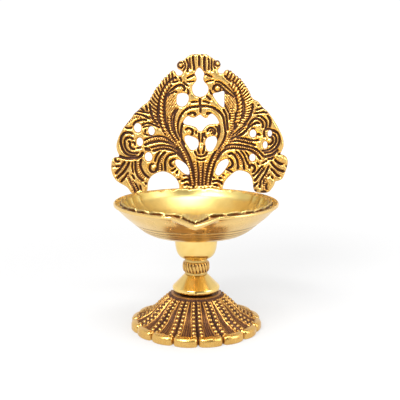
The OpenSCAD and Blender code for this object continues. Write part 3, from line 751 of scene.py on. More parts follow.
def inside_distance(relief, edges):
    """Distance inside the border, in mm: negative outside, and capped at EDGE_REACH."""
    inside = np.zeros(relief.grid_x.shape, bool)
    for j, z in enumerate(relief.z + 1e-5):
        crossing = (edges[:, 0, 1] > z) != (edges[:, 1, 1] > z)
        a, b = edges[crossing, 0], edges[crossing, 1]
        at = np.sort(a[:, 0] + (z - a[:, 1]) * (b[:, 0] - a[:, 0]) / (b[:, 1] - a[:, 1]))
        inside[:, j] = np.searchsorted(at, relief.x) % 2 == 1
    distance = np.full(inside.shape, EDGE_REACH)
    for edge in edges:
        part = relief.window(edge, EDGE_REACH)
        gx, gz = relief.grid_x[part], relief.grid_z[part]
        run = edge[1] - edge[0]
        t = np.clip(((gx - edge[0, 0]) * run[0] + (gz - edge[0, 1]) * run[1]) / (run @ run), 0, 1)
        d = np.hypot(gx - edge[0, 0] - t * run[0], gz - edge[0, 1] - t * run[1])
        distance[part] = np.minimum(distance[part], d)
    return np.where(inside, distance, -distance)


def cut_grid(field):
    """Polygons of the grid's cells where field is above 0, cut at its zero line.

    Returns each point's two grid points and the blend between them, and then the faces."""
    rows, columns = field.shape
    number = np.arange(rows * columns).reshape(rows, columns)
    solid = field > 0
    sources = {}
    extra = []

    def crossing(a, b):
        key = (min(a, b), max(a, b))
        if key not in sources:
            fa, fb = field.flat[key[0]], field.flat[key[1]]
            sources[key] = rows * columns + len(extra)
            extra.append((*key, np.clip(fa / (fa - fb), 0.1, 0.9)))
        return sources[key]

    corners = np.stack([number[:-1, :-1], number[1:, :-1], number[1:, 1:], number[:-1, 1:]], -1)
    filled = solid.flat[corners]
    count = filled.sum(-1)
    faces = corners[count == 4].tolist()
    partly = (count > 0) & (count < 4)
    for cell, flags in zip(corners[partly].tolist(), filled[partly]):
        ring = []
        for k in range(4):
            a, b = cell[k], cell[(k + 1) % 4]
            if flags[k]:
                ring.append(a)
            if flags[k] != flags[(k + 1) % 4]:
                ring.append(crossing(a, b))
        faces.append(ring)
    first, second, blend = (np.array(values) for values in zip(*extra))
    a = np.concatenate([number.ravel(), first])
    b = np.concatenate([number.ravel(), second])
    t = np.concatenate([np.zeros(rows * columns), blend])
    used = np.unique(np.concatenate([np.array(f) for f in faces]))
    renumber = np.full(len(a), -1)
    renumber[used] = np.arange(len(used))
    faces = [[int(renumber[i]) for i in f] for f in faces]
    return a[used], b[used], t[used], faces


def border_edges(faces):
    """Directed edges that only one face uses."""
    seen = {}
    for f in faces:
        for a, b in zip(f, f[1:] + f[:1]):
            seen[(a, b)] = True
    return [(a, b) for (a, b) in seen if (b, a) not in seen]


def carve_panel(relief):
    """Cuts every mark in turn, and then makes the surface a little uneven."""
    for patch in CHASED:
        relief.chase(*patch)
    for width, points in GROOVES:
        relief.groove(width, points)
    for row in BARBS:
        relief.barbs(*row)
    for row in ROPES:
        relief.rope(*row)
    for x, z, radius, width in RINGS:
        turn = [(x + radius * math.cos(a), z + radius * math.sin(a)) for a in np.linspace(0.6, 6.4, 14)]
        relief.groove(width, turn)
    for row in BEADS:
        relief.beads(*row)
    for boss in BOSSES:
        relief.boss(*boss)
    shape = relief.grid_x.shape
    relief.lift += 0.07 * value_noise(shape, 6) + 0.03 * value_noise(shape, 2.5)


def fill_back(points, loops):
    """Triangles over flat closed loops of (x, z) points, holes left open, as indices into points."""
    mesh = bmesh.new()
    verts = {}
    for a, b in loops:
        for i in (a, b):
            if i not in verts:
                verts[i] = mesh.verts.new((points[i][0], points[i][2], 0))
    edges = [mesh.edges.new((verts[a], verts[b])) for a, b in loops]
    made = bmesh.ops.triangle_fill(mesh, use_beauty=True, edges=edges, normal=(0, 0, 1))
    names = {v: i for i, v in verts.items()}
    faces = [[names[v] for v in f.verts] for f in made["geom"] if isinstance(f, bmesh.types.BMFace)]
    mesh.free()
    return faces


def panel_height(relief):
    """Height of the relief above the floor of its grooves, lower where grooves are close together."""
    dome = 1 - 0.55 * (1 - np.clip(relief.room / ROOM_LIMIT, 0, 1)) ** 2
    return FIELD * dome * (1 - 0.92 * np.clip(relief.carve, 0, 1)) + relief.lift


def panel_thickness(relief, depth, height):
    """Thickness of the panel: rounded off at the border, and flat where it is screwed to the lug."""
    rounding = np.sqrt(np.clip(1 - (1 - np.clip(depth / 1.2, 0, 1)) ** 2, 0, 1))
    thickness = EDGE_THICK + (FLOOR_THICK - EDGE_THICK + height) * rounding
    thickness = blur(thickness, 1) * 0.5 + thickness * 0.5
    tang = smooth_step(11.5, 10, np.abs(relief.grid_x)) * smooth_step(65.5, 64.6, relief.grid_z)
    thickness = thickness * (1 - tang) + TANG_THICK * tang
    return np.clip(thickness, THINNEST, THICKEST)


def panel_patina(relief, height):
    """Patina from 0 to 1, dark in the grooves, on their flanks and in the hollows."""
    hollow = np.clip(blur(height, 4) - height, 0, 1)
    flank = np.clip(1 - relief.room / 0.9, 0, 1)
    return np.clip(0.1 + 0.9 * relief.carve**1.1 + 0.3 * flank + 0.4 * hollow, 0, 1)


def back_panel():
    """The carved front as a height map cut at the border, closed by a bevelled edge and a flat back."""
    lowest, highest = box_mm("back_panel")
    back_y = highest[1]
    relief = Relief(lowest[0] - 1, highest[0] + 1, lowest[2] - 1, highest[2] + 1)
    carve_panel(relief)
    depth = inside_distance(relief, flat_face_edges("back_panel", lowest[1]))
    serrated = smooth_step(1.5, 0.0, depth) * relief.notch
    first, second, blend, faces = cut_grid(depth - SERRATION * serrated)

    def sample(field):
        """A field's values at the points of the cut grid."""
        return field.flat[first] * (1 - blend) + field.flat[second] * blend

    height = panel_height(relief)
    x, z = sample(relief.grid_x), sample(relief.grid_z)
    y = back_y - sample(panel_thickness(relief, depth, height))
    tone = sample(panel_patina(relief, height))
    slope_x, slope_z = [sample(g) for g in np.gradient(blur(depth, 1), CELL)]

    border = border_edges(faces)
    rim = sorted({i for edge in border for i in edge})
    count = len(x)
    middle = {i: count + k for k, i in enumerate(rim)}
    back = {i: count + len(rim) + k for k, i in enumerate(rim)}
    r = np.array(rim)
    back_x, back_z = x[r] + BACK_INSET * slope_x[r], z[r] + BACK_INSET * slope_z[r]
    points = np.concatenate([
        np.stack([x, y, z], 1),
        np.stack([x[r], np.full(len(r), back_y - BACK_BEVEL), z[r]], 1),
        np.stack([back_x, np.full(len(r), back_y), back_z], 1),
    ])
    for a, b in border:
        faces.append([b, a, middle[a], middle[b]])
        faces.append([middle[b], middle[a], back[a], back[b]])
    faces += [f[::-1] for f in fill_back(points, [(back[a], back[b]) for a, b in border])]
    tones = np.concatenate([tone, BEVEL_TONE + 0 * r, BACK_TONE + 0 * r])
    make_piece("carved_panel", points, faces, "dish", "antique_brass", "back_panel", patina=tones)


back_panel()


# ---------------------------------------------------------------- turned shapes

BORE = 3.05    # radius of every M6 hole


def corners_rounded(profile, radius):
    """A run of (r, z) corners with each inner one rounded, and held sharp by points beside it."""
    out = [np.array(profile[0], float)]
    for before, corner, after in zip(profile, profile[1:], profile[2:]):
        before, corner, after = (np.array(p, float) for p in (before, corner, after))
        into, away = before - corner, after - corner
        reach = min(radius, 0.35 * np.linalg.norm(into), 0.35 * np.linalg.norm(away))
        into /= np.linalg.norm(into)
        away /= np.linalg.norm(away)
        out.append(corner + 1.25 * reach * into)
        for t in (0, 0.3, 0.5, 0.7, 1):
            out.append(corner + reach * ((1 - t) ** 2 * into + t**2 * away))
        out.append(corner + 1.25 * reach * away)
    out.append(np.array(profile[-1], float))
    return np.array(out)


def ring_rounded(profile, radius):
    """A closed (r, z) profile with every corner rounded."""
    return corners_rounded([*profile, profile[0], profile[1]], radius)[1:-1]


def even_angles(count):
    return np.arange(count) * TAU / count


def spin(outline, angles):
    """The (r, z) points of an outline as (row, angle) arrays of r and z."""
    return outline[:, :1] + 0 * angles, outline[:, 1:] + 0 * angles


def turned_mesh(r, z, angles, closed=True):
    """Points and faces from (row, angle) arrays of r and z. The rows run anticlockwise in (r, z).

    A closed run joins its last row to its first. An open one is capped on the axis at both ends."""
    rows, count = r.shape
    points = np.stack([r * np.cos(angles), r * np.sin(angles), z], -1).reshape(-1, 3).tolist()
    faces = []
    for i in range(rows if closed else rows - 1):
        a, b = i * count, (i + 1) % rows * count
        for j in range(count):
            k = (j + 1) % count
            faces.append([a + j, a + k, b + k, b + j])
    if not closed:
        hub, last = rows * count, (rows - 1) * count
        points += [[0, 0, float(z[0].mean())], [0, 0, float(z[-1].mean())]]
        faces += [[hub, (j + 1) % count, j] for j in range(count)]
        faces += [[hub + 1, last + j, last + (j + 1) % count] for j in range(count)]
    return np.array(points), faces


def tube_mesh(outside, inside, angles):
    """A tube from its outside rows, from the bottom up, and its inside rows, from the top down."""
    r, z = [np.concatenate(pair) for pair in zip(outside, inside)]
    return turned_mesh(r, z, angles)


def turned_piece(name, profile, body, slot, replaces, bevel, count, shape=None):
    """A ring turned from a closed (r, z) profile. shape may change the radii and gives the patina."""
    angles = even_angles(count)
    r, z = spin(ring_rounded(profile, bevel), angles)
    patina = 0 * r
    if shape:
        r, patina = shape(r, z, angles)
    points, faces = turned_mesh(r, z, angles)
    make_piece(name, points, faces, body, slot, replaces, patina=patina.ravel())


def zigzag(turn):
    """Rises from 0 to 1 and falls back, once in each turn."""
    return 1 - np.abs(2 * (turn - np.floor(turn)) - 1)


def thread_rows(z_low, z_high, angles, root_r, crest_r, step=0.125, pitch=1.0, bevel=0.6):
    """Rows of r and z for a screw thread, tapered at both ends."""
    levels = np.linspace(z_low, z_high, int((z_high - z_low) / step) + 1)
    z = levels[:, None] + 0 * angles
    ridge = np.clip(1.4 * zigzag(z / pitch - angles / TAU) - 0.2, 0, 1)
    ends = np.clip(np.minimum(z - z_low, z_high - z) / bevel, 0, 1)
    return root_r + (crest_r - root_r) * ridge * ends, z


def bore_rows(z_low, z_high, angles, depth):
    """Rows of r and z for a threaded M6 hole, from the top down."""
    levels = np.linspace(z_low, z_high, int((z_high - z_low) / 0.25) + 1)
    z = levels[::-1, None] + 0 * angles
    return BORE + depth * zigzag(z - angles / TAU), z


# ---------------------------------------------------------------- foot

FOOT_R = 34.0
PETALS = 16
PETAL_ARC = TAU / PETALS
PETAL_TURN = math.radians(15)
PETAL_TWIST = math.radians(2)
PETAL_TIP_R = 0.36 * FOOT_R
BEADS_IN_ROW = 28    # sets how close the beads of a row are
FOOT_INSIDE = 0.62   # patina


def petal_plan(angles):
    """Radius of the foot's plan: overlapping circles, one for each petal."""
    off = (angles - PETAL_TURN + PETAL_ARC / 2) % PETAL_ARC - PETAL_ARC / 2
    centre = FOOT_R - PETAL_TIP_R
    return centre * np.cos(off) + np.sqrt(PETAL_TIP_R**2 - (centre * np.sin(off)) ** 2)


def petal_relief(r, down, angles):
    """Height of the petals' relief and its patina. down is the distance from the foot's top rim, in mm.

    Each cut between two petals has a bead row and a thin rail on both sides. A sunk, lined channel runs
    down the middle of the petal, and the petal ends in a smooth lip."""
    swing = PETAL_TWIST * (smooth_step(14, 33, r) - 1)
    groove_at = PETAL_TURN + PETAL_ARC / 2 + swing
    turn = (angles - groove_at) / PETAL_ARC
    petal = np.floor(turn + 0.5)
    side = turn - petal
    across = np.abs(side) * PETAL_ARC * r
    half = 0.5 * PETAL_ARC * r
    grow = np.clip((r - 13) / 20, 0, 1)

    bead_at = 1.1 + 0.85 * grow
    bead_r = 0.72 + 0.38 * grow
    number = BEADS_IN_ROW * np.log(1 + down / 50) + 0.2 * np.sin(2.4 * petal + 1.3 * np.sign(side))
    pitch = (50 + down) / BEADS_IN_ROW
    along = (number - np.floor(number) - 0.5) * pitch
    bead = np.clip(1 - ((across - bead_at) ** 2 + along**2) / bead_r**2, 0, 1) ** 0.5
    in_rows = smooth_step(1.6, 2.6, down) * smooth_step(31.4, 30.8, r)

    rail_at = bead_at + bead_r + 0.28
    rail = np.clip(1 - ((across - rail_at) / 0.3) ** 2, 0, 1) * smooth_step(2.0, 3.0, down)
    end_r = 31.7 - 1.1 * np.clip(across / half, 0, 1) ** 2
    in_channel = smooth_step(end_r, end_r - 0.45, r) * smooth_step(1.2, 2.4, down)
    wall = smooth_step(rail_at + 0.15, rail_at + 0.5, across)
    channel = wall * in_channel
    inward = np.clip((half - across) / np.maximum(half - rail_at, 0.3), 0, 1)
    lines = 0.5 + 0.5 * np.cos(TAU * 2 * inward + 0.9 * np.sin(petal * 1.7 + down * 0.35))
    lines_seen = smooth_step(0.7, 1.6, half - rail_at)

    cut_w = 0.3 + 0.2 * grow
    cut = np.clip(1 - (across / cut_w) ** 2, 0, 1) ** 0.7 * smooth_step(0.5, 1.4, down)
    trough = smooth_step(rail_at - 0.1, rail_at - 0.35, across) * in_rows

    height = 0.1 - 0.4 * trough + 0.82 * bead * in_rows + 0.1 * rail * in_rows
    height -= channel * (0.85 - 0.4 * lines * lines_seen)
    lip = 0.1 - 0.9 * np.clip(1 - across / 2.1, 0, 1) ** 2
    on_lip = smooth_step(31.2, 31.9, r)
    height = height * (1 - on_lip) + lip * on_lip
    height -= cut * (0.7 + 0.5 * grow)

    patina = 0.3 + 0.6 * trough * (1 - bead) - 0.26 * bead * in_rows + 0.1 * rail
    patina = np.maximum(patina, channel * (1 - 0.36 * lines * lines_seen))
    patina = np.where(on_lip > 0.5, 0.18, patina)
    patina = np.maximum(patina, 0.97 * cut)
    patina = np.maximum(patina, 0.92 * smooth_step(3.4, 1.9, down) * smooth_step(0.3, 0.9, down))
    patina = np.maximum(patina, 0.55 * smooth_step(1.2, 0.6, down))
    return height, np.clip(patina, 0, 1)


def foot():
    angles = even_angles(PETALS * 38)
    plan = petal_plan(angles)
    outer = spline([
        (33.4, 0.0), (33.9, 0.8), (34.0, 2.0), (33.9, 3.0), (33.4, 3.9), (32.6, 4.35), (31.4, 4.55),
        (30, 4.9), (28.4, 5.45), (23.7, 8.1), (20, 11.8), (16.6, 14.9), (14.2, 16.9), (12.3, 18.25)], 0.24)
    slope = np.gradient(outer, axis=0)
    slope /= np.linalg.norm(slope, axis=1)[:, None]
    length = np.concatenate([[0], np.cumsum(np.linalg.norm(np.diff(outer, axis=0), axis=1))])
    down = (length[-1] - length)[:, None] + 0 * angles
    base_r, base_z = spin(outer, angles)
    height, patina = petal_relief(base_r, down, angles)
    spread = smooth_step(25, 33, base_r) * (plan / FOOT_R - 1)
    r = np.minimum((base_r * (1 + spread)) + height * slope[:, 1:], plan)
    z = np.maximum(base_z - height * slope[:, :1], 0)

    hollow = np.array([
        (11.9, 18.4), (11.4, 18.36), (11.2, 18.1), (11.2, 17.75), (11, 17.7), (3.2, 17.7), (BORE, 17.6),
        (BORE, 14.6), (3.2, 14.5), (11, 14.5), (14.4, 12.5), (18, 9.5), (22, 5.8), (27.5, 2.4),
        (29.2, 0.4), (29.7, 0.0)])
    inside = spin(hollow, angles)
    points, faces = tube_mesh((r, z), inside, angles)
    tones = np.concatenate([patina, FOOT_INSIDE + 0 * inside[0]]).ravel()
    make_piece("petal_foot", points, faces, "stand", "antique_brass", "foot", patina=tones)


foot()


# ---------------------------------------------------------------- dish

# Half widths and the spout's direction are in degrees round the stem, the others in mm.
RIM_R = 42.1
SPOUT_REACH = 8.9
SPOUT_HALF = 9.8
LEAF_HALF = 15.5
SPOUT_AIM = -90 + 1.3
SCALLOPS = 27
GROOVE_RADII = (27.2, 28.8, 30.4, 32.4)

# The dish is made of five groups of rows, from the middle of its underside to the middle of its bowl
FLAT, OUTSIDE, LIP, RIDGE, INSIDE = range(5)


def from_spout(angles):
    """Degrees from the spout's middle line, from -180 to 180."""
    return (np.degrees(angles) - SPOUT_AIM + 180) % 360 - 180


def scallop_phase(off):
    """Position along each scallop, from -1 to 1, and its number. The spout is one wide scallop."""
    span = (360 - 2 * SPOUT_HALF) / SCALLOPS
    round_phase = ((off % 360) - SPOUT_HALF) / span
    number = np.floor(round_phase)
    round_phase = 2 * (round_phase - number) - 1
    return np.where(np.abs(off) < SPOUT_HALF, off / SPOUT_HALF, round_phase), number


def grooves_at(r):
    """How deep the turned grooves under the dish are at radius r, from 0 to 1."""
    return sum(np.exp(-((r - g) / 0.3) ** 2) for g in GROOVE_RADII)


def dish_groups():
    """The dish's section as groups of (r, z) rows. The ridge's heights are worked out later."""
    flat = np.array([(0.6, 50.2), (10, 50.2), (20, 50.2), (23.7, 50.2)])
    outside = spline([(24, 50.2), (28, 52.4), (33.2, 56.8), (37, 60.1), (39.6, 62.8), (41, 64.2)], 0.3)
    outside[:, 1] += 0.3 * grooves_at(outside[:, 0])
    lip = np.array([(41.3, 64.4), (41.75, 64.55), (41.98, 64.8), (RIM_R, 65.2), (RIM_R, 65.6),
                    (41.98, 65.85), (41.75, 66.02), (41.4, 66.1)])
    ridge = np.concatenate([np.arange(41.2, 39.2, -0.15), np.arange(39.2, 37.8, -0.05),
                            np.arange(37.8, 36.95, -0.1)])
    ridge = np.stack([ridge, np.full(len(ridge), 66.1)], 1)
    inside = spline([(36.85, 65.7), (36.3, 63.9), (35.4, 62.2), (33, 60.0), (29, 56.9), (24, 54.3),
                     (18, 53.0), (8, 52.6), (0.6, 52.6)], 1.2)
    return flat, outside, lip, ridge, inside


def dish():
    """The bowl, its scalloped ridge and its leaf spout, pulled out from a round dish."""
    near = np.arange(-17, 17, 0.3)
    far = np.linspace(17, 343, 410, endpoint=False)
    angles = np.radians(np.concatenate([near, far]) + SPOUT_AIM)
    off = from_spout(angles)
    leaf = np.clip(1 - np.abs(off) / LEAF_HALF, 0, 1) ** 1.15
    inner_leaf = np.clip(1 - np.abs(off) / SPOUT_HALF, 0, 1) ** 1.2
    in_spout = smooth_step(SPOUT_HALF + 0.3, SPOUT_HALF - 0.3, np.abs(off))
    phase, number = scallop_phase(off)
    arch = 1 - np.abs(phase) ** 2.6
    closed = 0.3 + 0.35 * np.sin(3.7 * number)

    groups = dish_groups()
    rows = np.concatenate(groups)
    rho, z = spin(rows, angles)
    part = np.concatenate([np.full(len(group), k) for k, group in enumerate(groups)])[:, None]

    # The ridge: a low flange inside the lip, and a step up to the crest at each scallop's edge
    uneven = 0.14 * np.sin(5 * angles + 1) + 0.1 * np.sin(13 * angles + 2) + 0.1 * np.sin(41 * angles)
    edge = 38.5 - 0.7 * (1 - arch) + 0.9 * uneven
    step = smooth_step(edge + 0.12, edge - 0.12, rho)
    hollow = (0.35 + 0.5 * arch**0.5) * (1 - 0.25 * in_spout)
    flange = 66.08 - 1.6 * leaf - hollow * smooth_step(41.3, 39.0, rho)
    crest = 66.8 + 0.25 * np.cos(np.radians(off)) - 0.55 * (1 - arch) + 1.1 * uneven
    crest = crest - 0.4 * (np.clip(37.9 - rho, 0, 1) / 0.9) ** 2
    teeth = 0.18 * np.cos(TAU * off / 2.4)
    fall = np.clip((rho - 37.1) / 1.3, 0, 1)
    plate = 66.95 - 0.6 * inner_leaf - (1.3 - 0.1 * inner_leaf + teeth) * fall
    crest = crest + (plate - crest) * in_spout
    ridge_z = flange + (crest - flange) * step
    z = np.where(part == RIDGE, np.clip(ridge_z, 63.8, 67.25), z)

    # Painted shade, with patina, under the step, where some scallops are more open than others; patina in
    # the turned grooves
    shaded_wall = smooth_step(crest - 0.3, crest - 0.6, ridge_z)
    reach = edge + 1.0 + 0.7 * in_spout
    under = shaded_wall * smooth_step(reach, reach - 0.7, rho) * smooth_step(edge - 0.3, edge - 0.1, rho)
    shut = np.clip(closed, 0, 1) * (1 - in_spout)
    # The painted shade under the step is stored in the "patina" attribute here
    patina = np.where(part == RIDGE, under * (shut + (1 - shut) * smooth_step(0.03, 0.25, arch)), 0.0)
    patina = np.where(part == OUTSIDE, 0.85 * np.clip(grooves_at(rows[:, :1]), 0, 1), patina)

    # The spout: rows near the rim are pulled outward and down
    out_pull = np.interp(rho, [36, 39.6, 41, RIM_R], [0, 0.3, 0.85, 1]) * leaf
    share = np.clip((rho - 38.5) / 3.6, 0, 1)
    top_pull = (0.86 * inner_leaf * smooth_step(36.9, 38.5, rho)) * (1 - share) + leaf * share
    still = (part == FLAT) | (part == INSIDE)
    pull = np.where(part == OUTSIDE, out_pull, np.where(still, 0, top_pull))
    r = rho + SPOUT_REACH * pull
    z = z - leaf * np.where(part == OUTSIDE, 2.7 * smooth_step(38.5, 41.2, rho), 0)
    z = z - leaf * np.where(part == LIP, 1.6 + 1.1 * (66.1 - z) / 1.7, 0)

    # Soft creases of the scallops inside the bowl, strongest at its two sides
    sideways = smooth_step(0.7, 0.97, np.abs(np.sin(np.radians(off))))
    crease = np.abs(phase) ** 3 * smooth_step(31, 36, rho) * sideways
    r = r - np.where(part == INSIDE, 0.8 * crease, 0)

    points, faces = turned_mesh(r, z, angles, closed=False)
    tones = np.concatenate([patina.ravel(), [0, 0]])
    # bowl is 1 inside the bowl and 0.7 on the ridge, where the brass takes most of the inside's painted
    # shade colour
    bowl = np.where(part == INSIDE, 1.0, np.where(part == RIDGE, 0.7, 0.0 * z))
    bowl = np.concatenate([bowl.ravel(), [0, 1]])
    make_piece("dish_bowl", points, faces, "dish", "dish_brass", "dish", patina=tones, bowl=bowl)


def dish_boss():
    """The threaded boss under the dish, inside the cup."""
    angles = even_angles(64)
    outside = spin(corners_rounded([(3.4, 41.0), (5.5, 41.0), (5.5, 50.4), (3.2, 50.4)], 0.4), angles)
    points, faces = tube_mesh(outside, bore_rows(41.3, 50.0, angles, 0.25), angles)
    make_piece("dish_boss", points, faces, "dish", "dish_brass")


def dish_lug():
    """The lug behind the rim that the panel is screwed to: one side outline at steps of x."""
    outline = [(37, 62), (37, 64.3), (42.5, 64.3), (42.5, 57.4), (38.5, 57.4), (34, 59.4), (37, 62)]
    side = corners_rounded(outline, 0.5)[:-1]
    insets = [(-10, 0.4), (-9.85, 0.12), (-9.5, 0), (9.5, 0), (9.85, 0.12), (10, 0.4)]
    middle = side.mean(0)
    points = []
    for x, inset in insets:
        for p in side:
            inward = middle - p
            points.append((x, *(p + inset * inward / np.linalg.norm(inward))))
    count = len(side)
    last = (len(insets) - 1) * count
    faces = [list(range(count)), [last + j for j in reversed(range(count))]]
    for a in range(0, last, count):
        for j in range(count):
            k = (j + 1) % count
            faces.append([a + j, a + k, a + count + k, a + count + j])
    make_piece("dish_lug", points, faces, "dish", "dish_brass")


dish()
dish_boss()
dish_lug()


# ---------------------------------------------------------------- stem

RING_TARNISH = 0.45
# Painted shade: the seat ring is darkened nearly to black to stand for the shade in the gap between the
# cone and the foot
SEAT_SHADE = 0.9


def pitted(r, z, angles):
    """A small casting pit at the front of the cone's lip, and a slight tarnish above the lip."""
    swing = (angles - math.radians(-88.5) + math.pi) % TAU - math.pi
    distance = np.hypot(swing * r, z - 20.8)
    dent = np.clip(1 - (distance / 0.5) ** 2, 0, 1) * (r > 8)
    return r - 0.3 * dent, np.maximum(0.9 * dent, 0.16 * smooth_step(22.3, 22.8, z))


def cone():
    profile = [(BORE, 19.5), (11.5, 19.5), (12.0, 19.9), (12.2, 20.5), (12.2, 21.3), (12.0, 21.8),
               (11.5, 22.3), (9.1, 24.8), (6.6, 27.4), (5.7, 28.2), (BORE, 28.2)]
    turned_piece("stem_cone_turned", profile, "stand", "polished_brass", "stem_cone", 0.5, 240, pitted)


def cup():
    profile = [(BORE, 36.4), (6.1, 36.4), (7.6, 36.9), (8.9, 38.0), (9.8, 39.4), (10.4, 41.2), (10.8, 43.6),
               (11, 46), (11, 49.6), (10.8, 50.2), (5.55, 50.2), (5.55, 40.4), (BORE, 40.4)]
    turned_piece("cup_turned", profile, "cup", "polished_brass", "cup", 0.8, 160)


def plain_ring(name, radius, z_low, z_high, body, slot, replaces, bevel, tarnish):
    """A ring with a square section and the same darkening all over: tarnish on the stem's rings, painted
    shade on the seat ring, none on the flat washer.
    """
    def evenly(r, z, angles):
        return r, tarnish + 0 * r
    profile = [(BORE, z_low), (radius, z_low), (radius, z_high), (BORE, z_high)]
    turned_piece(name, profile, body, slot, replaces, bevel, 96, evenly)


def collar():
    """Slanted ribs with dark pits at both ends of the gaps between them."""
    ribs = 24
    bottom, top, end_r = 29.6, 34.8, 5.9
    angles = even_angles(ribs * 12)
    levels = np.concatenate([[bottom, 29.7], np.linspace(29.8, 34.6, 25), [34.7, top]])
    z = levels[:, None] + 0 * angles
    turn = ribs * (angles[None, :] / TAU + (z - 32.2) * 0.006)
    side = np.abs(turn - np.floor(turn) - 0.5) * 2
    rib = np.sqrt(np.clip(1 - side**2, 0, 1))
    level = (z - bottom) / 5.2
    end = np.exp(-((level - 0.16) / 0.1) ** 2) + np.exp(-((level - 0.84) / 0.1) ** 2)
    bulge = np.sqrt(np.clip(1 - ((level - 0.5) / 0.56) ** 2, 0, 1))
    gap = side**2.4
    r = end_r + bulge * (0.45 + 0.65 * rib) - 0.25 * end * gap
    r = np.where((level < 0.02) | (level > 0.98), end_r, r)
    patina = np.clip(0.14 + 0.5 * gap + 1.1 * end * gap, 0, 1)
    inside = spin(np.array([(BORE, top), (BORE, bottom)]), angles)
    points, faces = tube_mesh((r, z), inside, angles)
    tones = np.concatenate([patina, 0.5 + 0 * inside[0]]).ravel()
    make_piece("ribbed_collar", points, faces, "stand", "antique_brass", "collar", patina=tones)


cone()
cup()
plain_ring("lower_ring_turned", 5.9, 28.2, 29.6, "stand", "polished_brass", "lower_ring", 0.3, RING_TARNISH)
plain_ring("neck_ring_turned", 5.9, 34.8, 36.4, "stand", "polished_brass", "neck_ring", 0.3, RING_TARNISH)
# The seat ring, painted dark as the shade in the gap under the cone
plain_ring("seat_ring", 8, 17.7, 19.5, "stand", "antique_brass", "seat_washer", 0.3, SEAT_SHADE)
collar()


# ---------------------------------------------------------------- rod, nut, washers and screws

SCREW_X = 6
SCREW_Z = 61
HEAD_R = 2.8


def tie_rod():
    angles = even_angles(40)
    r, z = thread_rows(5.5, 49.5, angles, 2.5, 3.0)
    points, faces = turned_mesh(r, z, angles, closed=False)
    make_piece("threaded_rod", points, faces, "stand", "zinc_steel", "tie_rod")


def foot_nut():
    """A hexagon nut with turned chamfers and a threaded bore."""
    bottom, top, corner_r, mouth_r = 8.3, 13.3, 5.77, 3.4
    angles = even_angles(144)
    to_flat = corner_r * math.cos(math.pi / 6)
    hexagon = to_flat / np.cos(angles % (math.pi / 3) - math.pi / 6)
    levels = np.array([bottom, 8.32, 8.55, 8.9, 9.3, 12.3, 12.7, 13.05, 13.28, top])
    from_end = np.minimum(levels - bottom, top - levels)[:, None]
    outer_r = np.minimum(hexagon[None, :], 4.95 + 1.75 * from_end)
    outer_z = levels[:, None] + 0 * angles
    bore_r, bore_z = bore_rows(8.35, 13.25, angles, 0.2)
    bore_r[0] = bore_r[-1] = mouth_r
    points, faces = tube_mesh((outer_r, outer_z), (bore_r, bore_z), angles)
    make_piece("hex_nut", points, faces, "nut", "zinc_steel", "foot_nut")


def along_y(points, x, y, z):
    """Turns points made about +Z so that +Z becomes +Y, and moves them."""
    p = np.asarray(points)
    return np.stack([p[:, 0] + x, p[:, 2] + y, -p[:, 1] + z], 1)


def screw_head():
    """A pan head about +Z with a straight slot along x, as points and faces."""
    half = np.array([0.39, 0.4, 0.6, 0.9, 1.2, 1.6, 2.0, 2.3, 2.5, 2.65, 2.75, 2.79])
    across = np.concatenate([-half[::-1], half])
    along = np.sin(np.linspace(-0.5, 0.5, 33) * math.pi)
    x = np.sqrt(HEAD_R**2 - across**2)[:, None] * along
    y = across[:, None] + 0 * x
    dome = np.interp(np.hypot(x, y), [0, 1.2, 2.0, 2.5, HEAD_R], [1.9, 1.9, 1.75, 1.45, 1.1])
    top = np.where(np.abs(y) < 0.395, 1.0, dome)
    rows, columns = x.shape
    under = rows * columns
    points = np.concatenate([np.stack([x, y, level], -1).reshape(-1, 3) for level in (top, 0 * top)])
    faces = []
    for i in range(rows - 1):
        for j in range(columns - 1):
            a = i * columns + j
            quad = [a, a + 1, a + columns + 1, a + columns]
            faces.append(quad)
            faces.append([k + under for k in reversed(quad)])
    border = list(range(columns))
    border += [i * columns + columns - 1 for i in range(1, rows)]
    border += [(rows - 1) * columns + j for j in range(columns - 2, -1, -1)]
    border += [i * columns for i in range(rows - 2, 0, -1)]
    for a, b in zip(border, border[1:] + border[:1]):
        faces.append([b, a, a + under, b + under])
    return points, faces


def panel_washer(name, x, replaces):
    angles = even_angles(64)
    ring = ring_rounded([(1.6, 0.6), (1.6, 0), (3.3, 0), (3.3, 0.6)], 0.12)
    points, faces = turned_mesh(*spin(ring, angles), angles)
    make_piece(name, along_y(points, x, 46.5, SCREW_Z), faces, "dish", "zinc_steel", replaces)


def panel_screw(name, x, replaces):
    angles = even_angles(64)
    shank_r, shank_z = thread_rows(-8.6, 0.3, angles, 1.25, 1.5, 0.1, 0.5, 0.4)
    shank, shank_faces = turned_mesh(shank_r, shank_z, angles, closed=False)
    head, head_faces = screw_head()
    points = np.concatenate([shank, head])
    faces = shank_faces + [[k + len(shank) for k in f] for f in head_faces]
    make_piece(name, along_y(points, x, 47.1, SCREW_Z), faces, "dish", "zinc_steel", replaces)


tie_rod()
foot_nut()
plain_ring("flat_washer", 7, 13.3, 14.5, "washer", "zinc_steel", "foot_washer", 0.2, 0)
panel_washer("washer_left", -SCREW_X, "panel_washers")
panel_screw("screw_left", -SCREW_X, "panel_screws")
panel_washer("washer_right", SCREW_X, None)
panel_screw("screw_right", SCREW_X, None)


# ---------------------------------------------------------------- camera, light and floor

AIM_Z = 70.85
CAMERA_REACH = 406.9
CAMERA_HEIGHT = 140.4
CAMERA_AZIMUTH = math.radians(1.8)
LIGHT_AIM = Vector((0, 0, 0.07))
FLOOR_HALF = 6


def place(item, spot, target):
    """Puts an object at a spot, facing a target."""
    item.location = spot
    item.rotation_euler = (target - Vector(spot)).to_track_quat("-Z", "Y").to_euler()
    bpy.context.scene.collection.objects.link(item)


